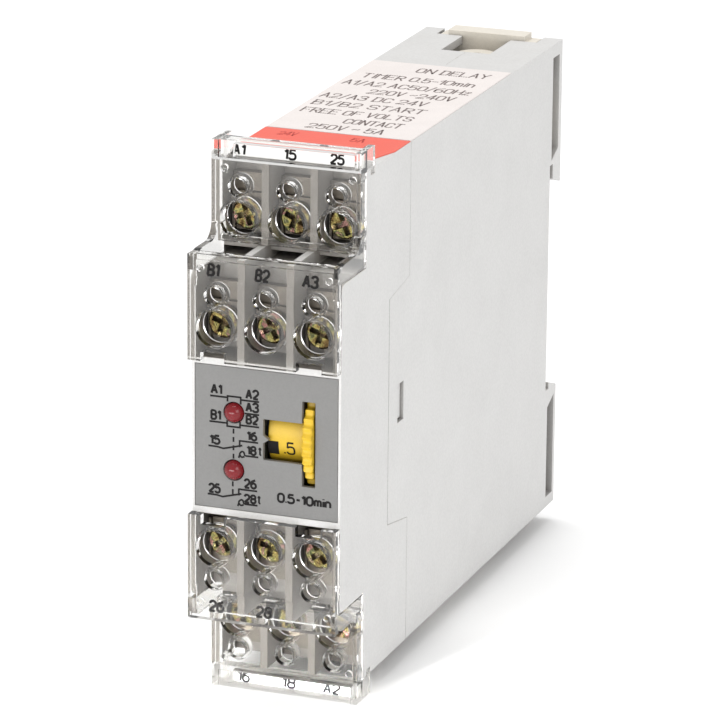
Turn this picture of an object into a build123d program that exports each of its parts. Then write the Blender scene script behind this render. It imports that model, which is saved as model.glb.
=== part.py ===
from build123d import *
import math
import os

# DIN rail timer: a narrow box that clips to a 35 mm rail, with a setting wheel, two lamps
# and twelve screw terminals under clear covers. Millimetres.
# Origin: centre of the rail seat. +X right seen from the front, +Y back to the rail, +Z up.

# Case
case_width = 22.5
case_depth = 97.3            # front plate to the back of the feet
case_height = 75.6
rail_centre_height = 37.4    # case bottom up to the rail's centre line
wall = 1.3
fit_gap = 0.1                # clearance between fixed mouldings
seam_gap = 0.14
seam_depth = 27.8            # front shell's rear edge, measured back from the plate
tongue_depth = 19.4          # rear case's tongues reach forward to here
tongue_half_height = 17.0
tongue_slope = 1.4
lap_length = 2.0
lap_wall = 0.6
snap_half_height = 2.9        # of the small window in each tongue
snap_middle = 0.2
snap_depths = (23.3, 25.8)
snap_gap = 0.2

# Rail
rail_height = 35.0
rail_recess = 5.0
seat_wall = 1.5
seat_pad_half_height = 15.0
seat_relief = 0.15           # recess floor lies this far in front of the seat pad
groove_width = 1.35
hook_top = 16.66             # lower foot's top edge, below the centre line
hook_bottom = 16.6           # upper foot's lower edge
foot_slope = 1.2
upper_groove_play = 1.5
lower_groove_play = 0.2

# Rail slider and its chamber in the upper foot
slider_half_width = 7.9
slider_thickness = 3.4
slider_proud = 0.75
slider_overlap = 1.9         # how far the nose reaches down behind the rail
slider_gap = 0.3
pocket_half_width = 3.95
pocket_length = 10.2
pocket_floor = 5.5           # below the case top
chamber_depth = 4.6
foot_block_depth = 10.9
spring_coil_radius = 1.4
spring_wire_radius = 0.22
spring_turns = 6
spring_offset = 5.9
window_height = 15.7
window_length = 3.2
upper_window_drop = 2.1      # window's outer end below the case top
lower_window_rise = 1.7      # and above the case bottom
upper_window_y = 0.5
lower_window_y = 0.9

# Terminals
terminal_side_wall = 0.76
rib_thickness = 1.1
plate_half_height = 10.6
cell_start = 11.6
inner_row = 16.25
step_height = 24.2           # case step between the inner and outer rows
outer_cell_start = 26.5
wire_pocket = 1.2             # height of the pocket below the outer cells
outer_row = 29.85
row_step = 9.0               # outer rows lie this much further back
cover_flange = row_step + 0.7
rib_front = 0.2
screw_face = 2.1
screw_head_radius = 2.3
screw_head_height = 1.9
screw_radius = 1.75
screw_length = 8.2
screw_clearance = 0.05
clamp_thickness = 0.8
clamp_side_gap = 0.38
clamp_height = 5.6
clamp_gap = 0.05
busbar_thickness = 1.5
busbar_height = 8.6
busbar_below = 3.1           # below the screw axis
tail_width = 2.0
tail_thickness = 0.8
floor_thickness = 1.2
boss_wall = 0.8
boss_gap = 0.35
COLUMNS = (-1, 0, 1)
TERMINALS = {
    "a1": (1, "outer", -1), "15": (1, "outer", 0), "25": (1, "outer", 1),
    "b1": (1, "inner", -1), "b2": (1, "inner", 0), "a3": (1, "inner", 1),
    "26": (-1, "inner", -1), "28": (-1, "inner", 0), "spare": (-1, "inner", 1),
    "16": (-1, "outer", -1), "18": (-1, "outer", 0), "a2": (-1, "outer", 1),
}

# Covers
cover_proud = 1.7
cover_wall = 1.2
cheek_wall = 1.0
cover_step = 27.05
cheek_outer_radius = 3.2
cheek_inner_radius = 2.6
tube_gap = 0.1
tube_wall = 0.42
tube_length = 1.8
probe_offset = 4.75
probe_radius = 1.35
probe_wall = 0.4
lip_height = 3.1
lip_depth = 3.1
lip_end_depth = 5.5
marker_height = 1.95
marker_thickness = 0.9
lip_floor = 0.55
lip_stop = 3.1               # solid left end of the channel
lip_back = 0.7
lip_roof = 0.45
hook_depths = (row_step + 2.35, row_step + 3.75)  # hooks of the covers behind the shell's end walls
hook_notch_gap = 0.15
cover_start = 0.85           # gap between the front plate and a cover, with the plate's edge
NOTCHES = ((-9.3, -5.7), (5.1, 8.9))    # finger notches in a cover's inner edge
notch_height = 1.35
peg_radius = 0.5

# Front plate, setting wheel and lamps
plate_thickness = 0.8
plate_rim = 0.4
front_wall = 1.2
wheel_radius = 8.6
wheel_width = 1.6
wheel_proud = 1.3
wheel_x = 6.4
wheel_z = 0.4
wheel_teeth = 40
scallop_radius = 0.62
slot_width = 1.97
slot_half_height = 6.27
drum_radius = wheel_radius - 2.45
drum_wall = 1.0
drum_left = -0.2
spindle_radius = 1.4
spindle_clearance = 0.05
window_left = -0.45
window_half_height = 3.0
pot_radius = drum_radius - 1.55
lamp_radius = 1.5
lamp_x = -4.9
lamp_seat = 0.3              # the dome's centre lies this far behind the plate
lamp_length = 5.2
lead_offset = 0.6
lead_half = 0.2
LAMP_HEIGHTS = (3.85, -4.67)

# Boards and what they carry
board_thickness = 1.6
main_board_x = -7.0          # face that carries the components
front_board_x = -1.0
main_board_front = 34.0
board_rear_room = 16.3       # from the main board back to the end of the feet
relay_front = 37.0
relay_length = 29.0
relay_width = 12.7
relay_height = 15.2
relay_low = 10.0
transformer_length = 30.0
transformer_height = 25.0
transformer_stack = 12.5
armature_angle = 4.0
armature_pivot = (17.6, 11.8)    # along the relay and above its board
armature_face = 17.7
contact_gap = 0.05
rivet_front = 23.2
rivet_length = 0.9

# Labels
label_thickness = 0.12
label_front = 28.1
label_rear_room = 24.7       # from the label back to the end of the feet
band_front = 15.9

# Derived places
case_bottom = -rail_centre_height
case_top = case_height - rail_centre_height
half_width = case_width / 2
front_y = rail_recess - case_depth
main_board_rear = case_depth - board_rear_room
transformer_front = main_board_rear - transformer_length
label_rear = case_depth - label_rear_room
inner_half = half_width - wall
cell_width = (case_width - 2 * terminal_side_wall - 2 * rib_thickness) / 3
pitch = cell_width + rib_thickness
busbar_front = screw_face + screw_head_height + 2 * clamp_gap + clamp_thickness
cell_floor = busbar_front + busbar_thickness
boss_bore = screw_radius + boss_gap
boss_radius = boss_bore + boss_wall
boss_end = screw_face + screw_head_height + screw_length + 0.5
wheel_y = front_y + wheel_radius - wheel_proud
tube_radius = min(cell_width / 2, outer_row - outer_cell_start) - tube_gap
slider_front = groove_width
chamber_top = case_top - wall
spring_seat = chamber_top - 9.5


def at(depth):
    """Y of a plane that lies this far behind the front plate."""
    return front_y + depth


def block(x0, x1, y0, y1, z0, z1):
    centre = Pos((x0 + x1) / 2, (y0 + y1) / 2, (z0 + z1) / 2)
    return centre * Box(x1 - x0, y1 - y0, z1 - z0)


def wide_block(half, y0, y1, z0, z1):
    return block(-half, half, y0, y1, z0, z1)


def rod_x(x0, x1, y, z, radius):
    return Pos((x0 + x1) / 2, y, z) * Rot(0, 90, 0) * Cylinder(radius, x1 - x0)


def rod_y(x, z, y0, y1, radius):
    return Pos(x, (y0 + y1) / 2, z) * Rot(90, 0, 0) * Cylinder(radius, y1 - y0)


def rod_z(x, y, z0, z1, radius):
    return Pos(x, y, (z0 + z1) / 2) * Cylinder(radius, z1 - z0)


def outline(points, rounds=()):
    """Closed outline; rounds lists (point index, radius)."""
    face = make_face(Polyline(*points, close=True))
    for index, radius in rounds:
        corner = Vector(*points[index])
        near = face.vertices().sort_by_distance(corner)[0]
        face = fillet(near, radius)
    return face


def side_prism(points, x0, x1, rounds=()):
    """Outline in (y, z), extruded along X."""
    return Pos(x0, 0, 0) * extrude(Plane.YZ * outline(points, rounds), x1 - x0)


def front_prism(points, y0, y1):
    """Outline in (x, z), extruded along Y."""
    return Pos(0, y1, 0) * extrude(Plane.XZ * outline(points), y1 - y0)


def both_sides(shape):
    """The shape and its mirror image across the middle plane X = 0."""
    return shape + mirror(shape, about=Plane.YZ)


def bank_end(side):
    """Distance from the rail's centre line to the case end on that side."""
    return case_top if side > 0 else -case_bottom


def on_side(side, shape):
    return shape if side > 0 else mirror(shape, about=Plane.XY)


def row_place(row):
    """Height and extra depth of a terminal row."""
    return (inner_row, 0) if row == "inner" else (outer_row, row_step)


# ---------------------------------------------------------------- case

def seam_points(extra, margin):
    """Region in front of the seam, its rear edge moved back by extra."""
    top, bottom = case_top - margin, case_bottom + margin
    high = tongue_half_height + tongue_slope
    rear, tongue = at(seam_depth) + extra, at(tongue_depth) + extra
    return [
        (at(cover_flange), bottom), (at(cover_flange), top), (rear, top), (rear, high),
        (tongue, tongue_half_height), (tongue, -tongue_half_height), (rear, -high), (rear, bottom),
    ]


def terminal_cells(end):
    """Cells, wire pockets and screw bores of the upper bank."""
    cuts = []
    for column in COLUMNS:
        x0 = column * pitch - cell_width / 2
        x1 = x0 + cell_width
        cuts.append(block(x0, x1, at(-1), at(cell_floor), cell_start, step_height + 0.1))
        pocket_end = at(row_step + cell_floor - 0.9)
        cuts.append(block(x0, x1, at(0), pocket_end, step_height, step_height + wire_pocket))
        cuts.append(block(x0, x1, at(0), at(row_step + cell_floor), outer_cell_start, end + 1))
        for row in ("inner", "outer"):
            z, back = row_place(row)
            x = column * pitch
            cuts.append(rod_y(x, z, at(back), at(back + boss_end), boss_bore))
            tail_z = tail_height(z)
            slot = tail_width / 2 + fit_gap
            y0, y1 = at(back), at(back + cell_floor + floor_thickness + 1)
            cuts.append(block(x - slot, x + slot, y0, y1, tail_z - 0.1, tail_z + tail_thickness + 0.1))
    return cuts


def terminal_bosses():
    bosses = []
    for column in COLUMNS:
        for row in ("inner", "outer"):
            z, back = row_place(row)
            start = at(back + cell_floor + 0.2)
            boss = rod_y(column * pitch, z, start, at(back + boss_end + 0.8), boss_radius)
            bosses.append(boss & wide_block(half_width - 0.3, at(0), at(40), 0, 60))
    return bosses


def terminal_ribs(end):
    """Two partitions between the three cells of the upper bank."""
    depth = at(row_step + cell_floor)
    points = [
        (at(rib_front), cell_start - 0.3), (at(rib_front), step_height + 2.2),
        (at(row_step + rib_front), step_height + 2.2), (at(row_step + rib_front), end),
        (depth, end), (depth, step_height),
        (at(cell_floor), step_height), (at(cell_floor), cell_start - 0.3),
    ]
    ribs = []
    for side in (-1, 1):
        x = side * pitch / 2
        ribs.append(side_prism(points, x - rib_thickness / 2, x + rib_thickness / 2))
    return ribs


def shell_cavity():
    """Room behind the front wall and behind the terminal floors."""
    inner, outer = cell_floor + floor_thickness, row_step + cell_floor + floor_thickness
    front, rear = plate_thickness + front_wall, seam_depth + 30
    middle, step = cell_start - floor_thickness, step_height - floor_thickness
    points = [
        (at(front), -middle), (at(front), middle), (at(inner), middle), (at(inner), step),
        (at(outer), step), (at(outer), case_top - wall), (at(rear), case_top - wall),
        (at(rear), case_bottom + wall), (at(outer), case_bottom + wall),
        (at(outer), -step), (at(inner), -step), (at(inner), -middle),
    ]
    return side_prism(points, -inner_half, inner_half)


def front_shell():
    flange = at(cover_flange)
    high = tongue_half_height + tongue_slope
    points = [
        (at(0), -step_height), (at(0), step_height), (flange, step_height), (flange, case_top),
        (at(seam_depth), case_top), (at(seam_depth), high), (at(tongue_depth), tongue_half_height),
        (at(tongue_depth), -tongue_half_height), (at(seam_depth), -high), (at(seam_depth), case_bottom),
        (flange, case_bottom), (flange, -step_height),
    ]
    shell = side_prism(points, -half_width, half_width, [(0, 1.5), (1, 1.5)])
    lap = wall - lap_wall
    shell += side_prism(seam_points(lap_length, lap), lap - half_width, half_width - lap)
    shell -= shell_cavity()
    for side in (1, -1):
        for boss in terminal_bosses():
            shell += on_side(side, boss)
        for cut in terminal_cells(bank_end(side)):
            shell -= on_side(side, cut)
        for rib in terminal_ribs(bank_end(side)):
            shell += on_side(side, rib)
        end = bank_end(side)
        y0, y1 = at(hook_depths[0] - hook_notch_gap), at(hook_depths[1] + hook_notch_gap)
        notch = block(half_width - terminal_side_wall, half_width + 1, y0, y1, end - 0.9, end + 1)
        shell -= on_side(side, both_sides(notch))
    seat = at(plate_thickness + 0.05)
    shell -= wide_block(half_width - plate_rim, at(-1), seat, -plate_half_height, plate_half_height)
    shell -= front_openings(0.35, plate_thickness, plate_thickness + front_wall + 1)
    shell += snap_arms() + wheel_bearing()
    shell -= rod_x(wheel_x, half_width - 0.5, wheel_y, wheel_z, spindle_radius + spindle_clearance)
    return shell


def front_openings(extra, d0, d1):
    """Holes in the front wall for the lamps, the drum and the wheel."""
    reach = math.sqrt(wheel_radius ** 2 - (wheel_radius - wheel_proud - d1 + 1) ** 2) + extra
    half = slot_width / 2 + extra
    cut = block(wheel_x - half, wheel_x + half, at(d0), at(d1), wheel_z - reach, wheel_z + reach)
    drum = window_half_height + 3 * extra
    cut += block(drum_left - 1.4, wheel_x, at(d0), at(d1), wheel_z - drum, wheel_z + drum)
    for z in LAMP_HEIGHTS:
        cut += rod_y(lamp_x, z, at(d0), at(d1), lamp_radius + 0.1)
    return cut


def snap_arms():
    """Arms whose noses click into the small windows of the rear case's tongues."""
    x1 = inner_half - fit_gap
    x0 = x1 - 0.9
    start = tongue_depth - 5.4
    nose = [at(snap_depths[0] + snap_gap), at(snap_depths[1] - snap_gap)]
    low, high = snap_middle - snap_half_height + snap_gap, snap_middle + snap_half_height - snap_gap
    arm = block(x0, x1, at(start), nose[1] + 0.6, low, high)
    arm += block(x0, inner_half + 0.2, at(start), at(tongue_depth) - 0.3, low, high)
    arm += block(x1 - 0.2, half_width - 0.5, *nose, low + 0.1, high - 0.1)
    return both_sides(arm)


def wheel_bearing():
    """Boss on the side wall that carries the spindle's end."""
    start = wheel_x + wheel_width / 2 + 0.5
    return rod_x(start, inner_half + 0.2, wheel_y, wheel_z, spindle_radius + 1.2)


def rear_case():
    rear = rail_recess
    outer = wide_block(half_width, at(tongue_depth), rear, case_bottom, case_top)
    points = seam_points(seam_gap, -1)
    outer -= side_prism(points, -half_width - 1, half_width + 1)
    lap = wall - lap_wall - 0.05
    shell = outer - side_prism(seam_points(lap_length + 0.1, lap), lap - half_width, half_width - lap)
    shell -= wide_block(inner_half, at(0), -seat_wall, case_bottom + wall, case_top - wall)
    foot_front = rear - foot_block_depth - rail_recess
    shell += wide_block(half_width - 0.1, foot_front, rear, hook_bottom - 0.2, case_top - 0.1)
    shell -= recess_cut()
    shell += wide_block(half_width - 1, -0.5, 0, -seat_pad_half_height, seat_pad_half_height)
    for cut in slider_room():
        shell -= cut
    upper_end = case_top - upper_window_drop
    lower_end = case_bottom + lower_window_rise
    shell -= both_sides(window_cut(upper_end - window_height, upper_end, upper_window_y, 1))
    shell -= both_sides(window_cut(lower_end, lower_end + window_height, lower_window_y, -1))
    low, high = snap_middle - snap_half_height, snap_middle + snap_half_height
    snap = block(inner_half - 1, half_width + 1, at(snap_depths[0]), at(snap_depths[1]), low, high)
    return shell - both_sides(snap)


def recess_cut():
    """Side profile of the rail recess, with the grooves that take the rail's flanges."""
    top = rail_height / 2 + upper_groove_play
    low = -rail_height / 2 - lower_groove_play
    rear = rail_recess + 1
    slope = foot_slope * (rear - groove_width) / (rail_recess - groove_width)
    floor = -seat_relief
    points = [
        (floor, low), (floor, top), (groove_width, top), (groove_width, hook_bottom),
        (rear, hook_bottom - slope), (rear, -hook_top - slope), (groove_width, -hook_top),
        (groove_width, low),
    ]
    return side_prism(points, -half_width - 1, half_width + 1)


def window_cut(z0, z1, y0, lean):
    """Side window of a foot; the end next to the rail is slanted."""
    y1 = y0 + window_length
    slant = window_length * 0.45
    if lean > 0:
        points = [(y0, z0 - slant / 2), (y0, z1), (y1, z1), (y1, z0 + slant / 2)]
    else:
        points = [(y0, z0), (y0, z1 - slant / 2), (y1, z1 + slant / 2), (y1, z0)]
    return side_prism(points, 3, half_width + 1)


def slider_room():
    room = slider_half_width + slider_gap
    top = case_top + 1
    rear = rail_recess + 1
    channel = wide_block(room, slider_front - 0.15, rear, hook_bottom - 4, top)
    chamber = wide_block(room, -chamber_depth, rear, rail_height / 2 + upper_groove_play + 1.5, chamber_top)
    pocket_y, pocket_z = slider_front - pocket_length, case_top - pocket_floor
    pocket = wide_block(pocket_half_width, pocket_y, slider_front, pocket_z, top)
    nose = wide_block(room, 0, slider_front, rail_height / 2, rail_height / 2 + upper_groove_play + 2)
    return [channel, chamber, pocket, nose]


def rail_slider():
    """Plate with a nose behind the rail, side lugs, spring wings and a boss for a screwdriver."""
    y0 = slider_front + 0.05
    y1 = y0 + slider_thickness
    nose_low = rail_height / 2 - slider_overlap
    plate = wide_block(slider_half_width, y0, y1, nose_low, case_top - 0.2)
    x0, x1 = -slider_half_width + 1.5, slider_half_width - 1.7
    plate += block(x0, x1, y0, y1, case_top - 0.3, case_top + slider_proud)
    step_low = rail_height / 2 + 0.15
    plate += wide_block(slider_half_width, 0.2, y0 + 0.1, step_low, step_low + upper_groove_play + 1.2)
    lug_low = case_top - upper_window_drop - window_height + 1.2
    lug_rear = upper_window_y + window_length - slider_gap
    plate += wide_block(half_width - 1.6, y0 + 0.1, lug_rear, lug_low, lug_low + 10.5)
    wing_front = slider_gap - chamber_depth
    plate += wide_block(slider_half_width, wing_front, y0 + 0.2, spring_seat - 1.4, spring_seat)
    boss_top = case_top - 1.5
    boss_radius = pocket_half_width - 0.6
    boss_y = slider_front - pocket_length / 2
    plate += wide_block(boss_radius - 0.5, boss_y, y0 + 0.2, boss_top - 2.4, boss_top - 0.8)
    plate += rod_z(0, boss_y, boss_top - 2.4, boss_top, boss_radius)
    plate -= rod_z(0, boss_y, boss_top - 3, boss_top + 1, 1.2)
    return plate


def slider_springs():
    """Two compression springs between the slider's wings and the chamber's roof."""
    height = chamber_top - spring_seat - 2 * spring_wire_radius - 0.04
    pitch_length = height / spring_turns
    helix = Helix(pitch_length, height, spring_coil_radius)
    profile = Plane(origin=helix @ 0, z_dir=helix % 0) * Circle(spring_wire_radius)
    coil = sweep(profile, path=helix, is_frenet=True)
    y = -chamber_depth + spring_coil_radius + spring_wire_radius + 0.4
    z = spring_seat + spring_wire_radius + 0.02
    return [Pos(side * spring_offset, y, z) * coil for side in (-1, 1)]


# ---------------------------------------------------------------- covers and labels

def cover_plates(end):
    """Two stepped front plates with their beams, between the clear cheeks."""
    face, back = at(-cover_proud), at(-cover_proud + cover_wall)
    start = plate_half_height + cover_start
    shape = wide_block(half_width, face, back, start, cover_step - 0.1)
    shape += wide_block(half_width - 0.2, face, at(0.05), cover_step - 1.05, cover_step)
    face, outer_back = face + row_step, back + row_step
    shape += wide_block(half_width, face, outer_back, cover_step - 0.4, end + 0.3)
    shape += wide_block(half_width - 0.2, face, at(row_step + 0.1), cover_step - 0.35, cover_step + 0.3)
    inner = block(half_width - 0.8, half_width, back - 0.1, at(-0.15), start, step_height + 0.2)
    outer_x, outer_y = half_width - 0.95, at(cover_flange - 0.15)
    outer = block(outer_x, half_width, outer_back - 0.1, outer_y, cover_step, end)
    return shape + both_sides(inner) + both_sides(outer)


def cover_cheek():
    """S-shaped side wall that joins the two front plates."""
    face, outer_face = at(-cover_proud), at(row_step - cover_proud)
    rear, middle = at(cover_flange - 0.15), step_height + 0.15
    low, high = step_height - 2, cover_step + 4
    points = [
        (face, low), (face, cover_step), (outer_face, cover_step), (outer_face, high),
        (rear, high), (rear, middle), (at(-0.15), middle), (at(-0.15), low),
    ]
    rounds = [(1, cheek_outer_radius), (2, cheek_inner_radius)]
    return side_prism(points, half_width - cheek_wall, half_width, rounds)


def cover_lip(end):
    """Channel that stands beyond the case end and holds the marker strip."""
    front = at(row_step - cover_proud)
    low, top = end + 0.05, end + lip_height
    rear = front + lip_depth
    lip = wide_block(half_width, front, rear, low, low + lip_floor)
    lip += wide_block(half_width, rear - lip_back, rear, low, top)
    lip += wide_block(half_width, front + 0.3, rear, top - lip_roof, top)
    lip += block(-half_width + cheek_wall, -half_width + lip_stop, front + 0.4, rear, low, top)
    post = block(half_width - cheek_wall, half_width, front, front + lip_end_depth, low, top)
    y0, y1 = at(hook_depths[0]), at(hook_depths[1])
    hook = block(half_width - 0.62, half_width - 0.08, y0, y1, end - 0.8, low + 0.3)
    return lip + both_sides(post + hook)


def cover_tubes(end):
    """Screwdriver tubes and the smaller probe tubes, as (solid, bore) pairs."""
    pairs = []
    for row in ("inner", "outer"):
        z, back = row_place(row)
        face = at(back - cover_proud)
        for column in COLUMNS:
            x = column * pitch
            y1 = face + cover_wall + tube_length
            tube = rod_y(x, z, face, y1, tube_radius)
            pairs.append((tube, rod_y(x, z, face - 1, y1 + 1, tube_radius - tube_wall)))
            z_probe = z + probe_offset
            y2 = y1 - 0.5
            outer = rod_y(x, z_probe, face, y2, probe_radius + probe_wall)
            pairs.append((outer, rod_y(x, z_probe, face - 1, y2 + 1, probe_radius)))
    return pairs


def terminal_cover(side):
    end = bank_end(side)
    cover = cover_plates(end) + both_sides(cover_cheek()) + cover_lip(end)
    pairs = cover_tubes(end)
    for solid, _ in pairs:
        cover += solid
    for _, bore in pairs:
        cover -= bore
    notch_top = plate_half_height + cover_start + notch_height
    back = at(cover_wall - cover_proud + 0.05)
    for x0, x1 in NOTCHES:
        cover -= block(x0, x1, at(-3), back, plate_half_height, notch_top)
    for z, back in ((step_height + 0.6, 0), (end - 1.1, row_step)):
        start = at(back - cover_proud + 0.5)
        cover += both_sides(rod_y(half_width - 1.6, z, start, at(back + 0.1), peg_radius))
    return on_side(side, cover)


def marker_strip(side):
    end = bank_end(side)
    back = at(row_step - cover_proud) + lip_depth - lip_back - 0.05
    z0 = end + 0.05 + lip_floor + 0.05
    x0, x1 = lip_stop + 0.1 - half_width, half_width - cheek_wall - 0.1
    return on_side(side, block(x0, x1, back - marker_thickness, back, z0, z0 + marker_height))


def front_plate():
    half_x = half_width - plate_rim - 0.05
    half_z = plate_half_height - 0.05
    plate = wide_block(half_x, at(0), at(plate_thickness), -half_z, half_z)
    x0, x1 = wheel_x - slot_width / 2, wheel_x + slot_width / 2
    y0, y1 = at(-1), at(2)
    cut = block(x0, x1, y0, y1, wheel_z - slot_half_height, wheel_z + slot_half_height)
    low, high = wheel_z - window_half_height, wheel_z + window_half_height
    cut += block(window_left, wheel_x, y0, y1, low, high)
    for z in LAMP_HEIGHTS:
        cut += rod_y(lamp_x, z, y0, y1, lamp_radius + 0.06)
    tip = window_left + 0.86
    pointer = [(window_left - 0.1, wheel_z + 0.65), (tip, wheel_z), (window_left - 0.1, wheel_z - 0.65)]
    return plate - cut + front_prism(pointer, at(0), at(plate_thickness))


def rating_label():
    y0, y1 = at(label_front), at(label_rear)
    return wide_block(half_width - 0.15, y0, y1, case_top, case_top + label_thickness)


def colour_band():
    """Band between the label and the front, with its right front corner cut away."""
    x1 = half_width - 0.15
    y0, y1 = at(band_front), at(seam_depth)
    points = [(-x1, y0), (x1 - 1.6, y0), (x1, y0 + 5.5), (x1, y1), (-x1, y1)]
    face = make_face(Polyline(*points, close=True))
    return Pos(0, 0, case_top) * extrude(face, label_thickness)


# ---------------------------------------------------------------- terminals

def terminal_screw(side, row, column):
    """Screw with a cross recess and a slot; its axis runs straight back."""
    z, back = row_place(row)
    x, z = column * pitch, side * z
    face = at(back + screw_face)
    under = face + screw_head_height
    screw = rod_y(x, z, face, under, screw_head_radius)
    screw = chamfer(screw.edges().filter_by(GeomType.CIRCLE).sort_by(Axis.Y)[0], 0.35)
    screw += rod_y(x, z, under - 0.1, under + screw_length - 0.4, screw_radius)
    tip = Cone(screw_radius, screw_radius - 0.4, 0.5)
    screw += Pos(x, under + screw_length - 0.25, z) * Rot(-90, 0, 0) * tip
    for half_x, half_z in ((1.7, 0.42), (0.42, 1.7)):
        screw -= block(x - half_x, x + half_x, face - 1, face + 1.25, z - half_z, z + half_z)
    screw -= block(x - screw_head_radius, x + screw_head_radius, face - 1, face + 0.6, z - 0.3, z + 0.3)
    return screw


def clamp_plate(side, row, column):
    """Square clamping piece under the screw head, with turned-up side edges."""
    z, back = row_place(row)
    x, z = column * pitch, side * z
    half = cell_width / 2 - clamp_side_gap
    y0 = at(back + screw_face + screw_head_height + clamp_gap)
    low, high = z - clamp_height / 2, z + clamp_height / 2
    plate = block(x - half, x + half, y0, y0 + clamp_thickness, low, high)
    for side_x in (-1, 1):
        edge = x + side_x * (half - 0.2)
        plate += block(edge - 0.2, edge + 0.2, y0 - 0.7, y0 + 0.1, low, high)
    plate -= rod_y(x, z, y0 - 1, y0 + clamp_thickness + 1, screw_radius + 0.1)
    return plate


def tail_height(z):
    """Lower edge of a contact bar's tail, near the bar's outer end."""
    return z - busbar_below + busbar_height - tail_thickness - 0.6


def terminal_busbar(side, row, column):
    """Threaded contact bar on the cell floor, with a tail back to the terminal board."""
    z, back = row_place(row)
    x = column * pitch
    half = cell_width / 2 - 0.15
    y0 = at(back + busbar_front)
    low = z - busbar_below
    bar = block(x - half, x + half, y0, y0 + busbar_thickness, low, low + busbar_height)
    bar -= rod_y(x, z, y0 - 1, y0 + busbar_thickness + 1, screw_radius + screw_clearance)
    tail_z = tail_height(z)
    rear = at(seam_depth + 3.5)
    tail_half = tail_width / 2
    bar += block(x - tail_half, x + tail_half, y0 + 0.2, rear, tail_z, tail_z + tail_thickness)
    return on_side(side, bar)


def terminal_busbars():
    return [terminal_busbar(*place) for place in TERMINALS.values()]


def terminal_board(side):
    """Small board that the six tails of one bank are soldered into."""
    y0 = at(seam_depth + 3.5)
    end = bank_end(side)
    board = wide_block(inner_half - 0.3, y0, y0 + board_thickness, plate_half_height + 0.6, end - wall - 0.4)
    return on_side(side, board)


# ---------------------------------------------------------------- setting wheel and front board

def setting_wheel():
    half = wheel_width / 2
    wheel = rod_x(wheel_x - half, wheel_x + half, wheel_y, wheel_z, wheel_radius)
    cutter_radius = wheel_radius + scallop_radius * 0.3
    for tooth in range(wheel_teeth):
        angle = 2 * math.pi * (tooth + 0.5) / wheel_teeth
        y = wheel_y + cutter_radius * math.cos(angle)
        z = wheel_z + cutter_radius * math.sin(angle)
        wheel -= rod_x(wheel_x - half - 1, wheel_x + half + 1, y, z, scallop_radius)
    return wheel - rod_x(wheel_x - 5, wheel_x + 5, wheel_y, wheel_z, spindle_radius)


def scale_drum():
    """Hollow drum that carries the time scale, open towards the potentiometer."""
    right = wheel_x - wheel_width / 2
    drum = rod_x(drum_left, right, wheel_y, wheel_z, drum_radius)
    drum -= rod_x(drum_left - 1, right - drum_wall, wheel_y, wheel_z, drum_radius - drum_wall)
    return drum - rod_x(drum_left - 1, right + 1, wheel_y, wheel_z, spindle_radius)


def setting_spindle():
    return rod_x(0.2, inner_half - 0.3, wheel_y, wheel_z, spindle_radius)


def potentiometer():
    right = wheel_x - wheel_width / 2 - drum_wall - 1.2
    body = rod_x(front_board_x, right, wheel_y, wheel_z, pot_radius)
    return body - rod_x(0.1, right + 1, wheel_y, wheel_z, spindle_radius + spindle_clearance)


def lamp(z):
    """Domed lamp with its two leads bent to the front board."""
    rear = at(lamp_seat + lamp_length)
    dome = Pos(lamp_x, at(lamp_seat), z) * Sphere(lamp_radius - 0.05)
    body = rod_y(lamp_x, z, at(lamp_seat), rear, lamp_radius - 0.05) + dome
    body += rod_y(lamp_x, z, rear - 0.9, rear, lamp_radius + 0.3)
    leads = []
    for offset in (-lead_offset, lead_offset):
        low, high = z + offset - lead_half, z + offset + lead_half
        bend = rear + 2.5
        lead = block(lamp_x - lead_half, lamp_x + lead_half, rear, bend, low, high)
        board_face = front_board_x - board_thickness
        lead += block(lamp_x - lead_half, board_face, bend - 2 * lead_half, bend, low, high)
        leads.append(lead)
    return [body] + leads


def front_board():
    x1 = front_board_x
    half = plate_half_height - 1
    return block(x1 - board_thickness, x1, at(3), at(main_board_front + 4), -half, half)


def board_link():
    x0, x1 = main_board_x, front_board_x - board_thickness
    return block(x0, x1, at(main_board_front + 0.8), at(main_board_front + 2.8), -8, 8)


# ---------------------------------------------------------------- main board

def main_board():
    x1 = main_board_x
    y0, y1 = at(main_board_front), at(main_board_rear)
    return block(x1 - board_thickness, x1, y0, y1, case_bottom + wall + 0.6, case_top - wall - 0.6)


def relay_box(u0, u1, v0, v1, w0, w1):
    """Box in the relay's own directions: along the board, up the board, away from it."""
    x, y, z = main_board_x, at(relay_front), relay_low
    return block(x + w0, x + w1, y + u0, y + u1, z + v0, z + v1)


def relay_base():
    return relay_box(0, relay_length, 0, relay_width, 0, 2.2)


def relay_cover():
    cover = relay_box(0, relay_length, 0, relay_width, 2.2, relay_height)
    return cover - relay_box(0.7, relay_length - 0.7, 0.7, relay_width - 0.7, 1, relay_height - 0.7)


def relay_coil():
    x, y, z = main_board_x + 6.3, at(relay_front), relay_low + relay_width / 2
    spool = rod_y(x, z, y + 3.4, y + 15.4, 3.6)
    for u in (2.8, 15.4):
        spool += relay_box(u, u + 0.6, 1.6, relay_width - 1.6, 2.2, 10.2)
    return spool - rod_y(x, z, y + 1, y + 18, 1.65)


def relay_yoke():
    """Core pin and the bent frame that carries the armature's edge."""
    x, y, z = main_board_x + 6.3, at(relay_front), relay_low + relay_width / 2
    pole_radius = 2.6
    reach = armature_pivot[1] - 6.3 + pole_radius
    pole = y + armature_face - armature_travel(reach) - contact_gap
    core = rod_y(x, z, y + 1.9, pole, 1.6) + rod_y(x, z, pole - 0.5, pole, pole_radius)
    back = relay_box(1.3, 2.5, 2.2, relay_width - 2.2, 3.0, 11.8)
    top = relay_box(1.3, 17.4, 2.2, relay_width - 2.2, 10.6, 11.8)
    return core + back + top


def armature_travel(reach):
    """How far the armature moves at this distance below its pivot."""
    return reach * math.sin(math.radians(armature_angle))


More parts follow.
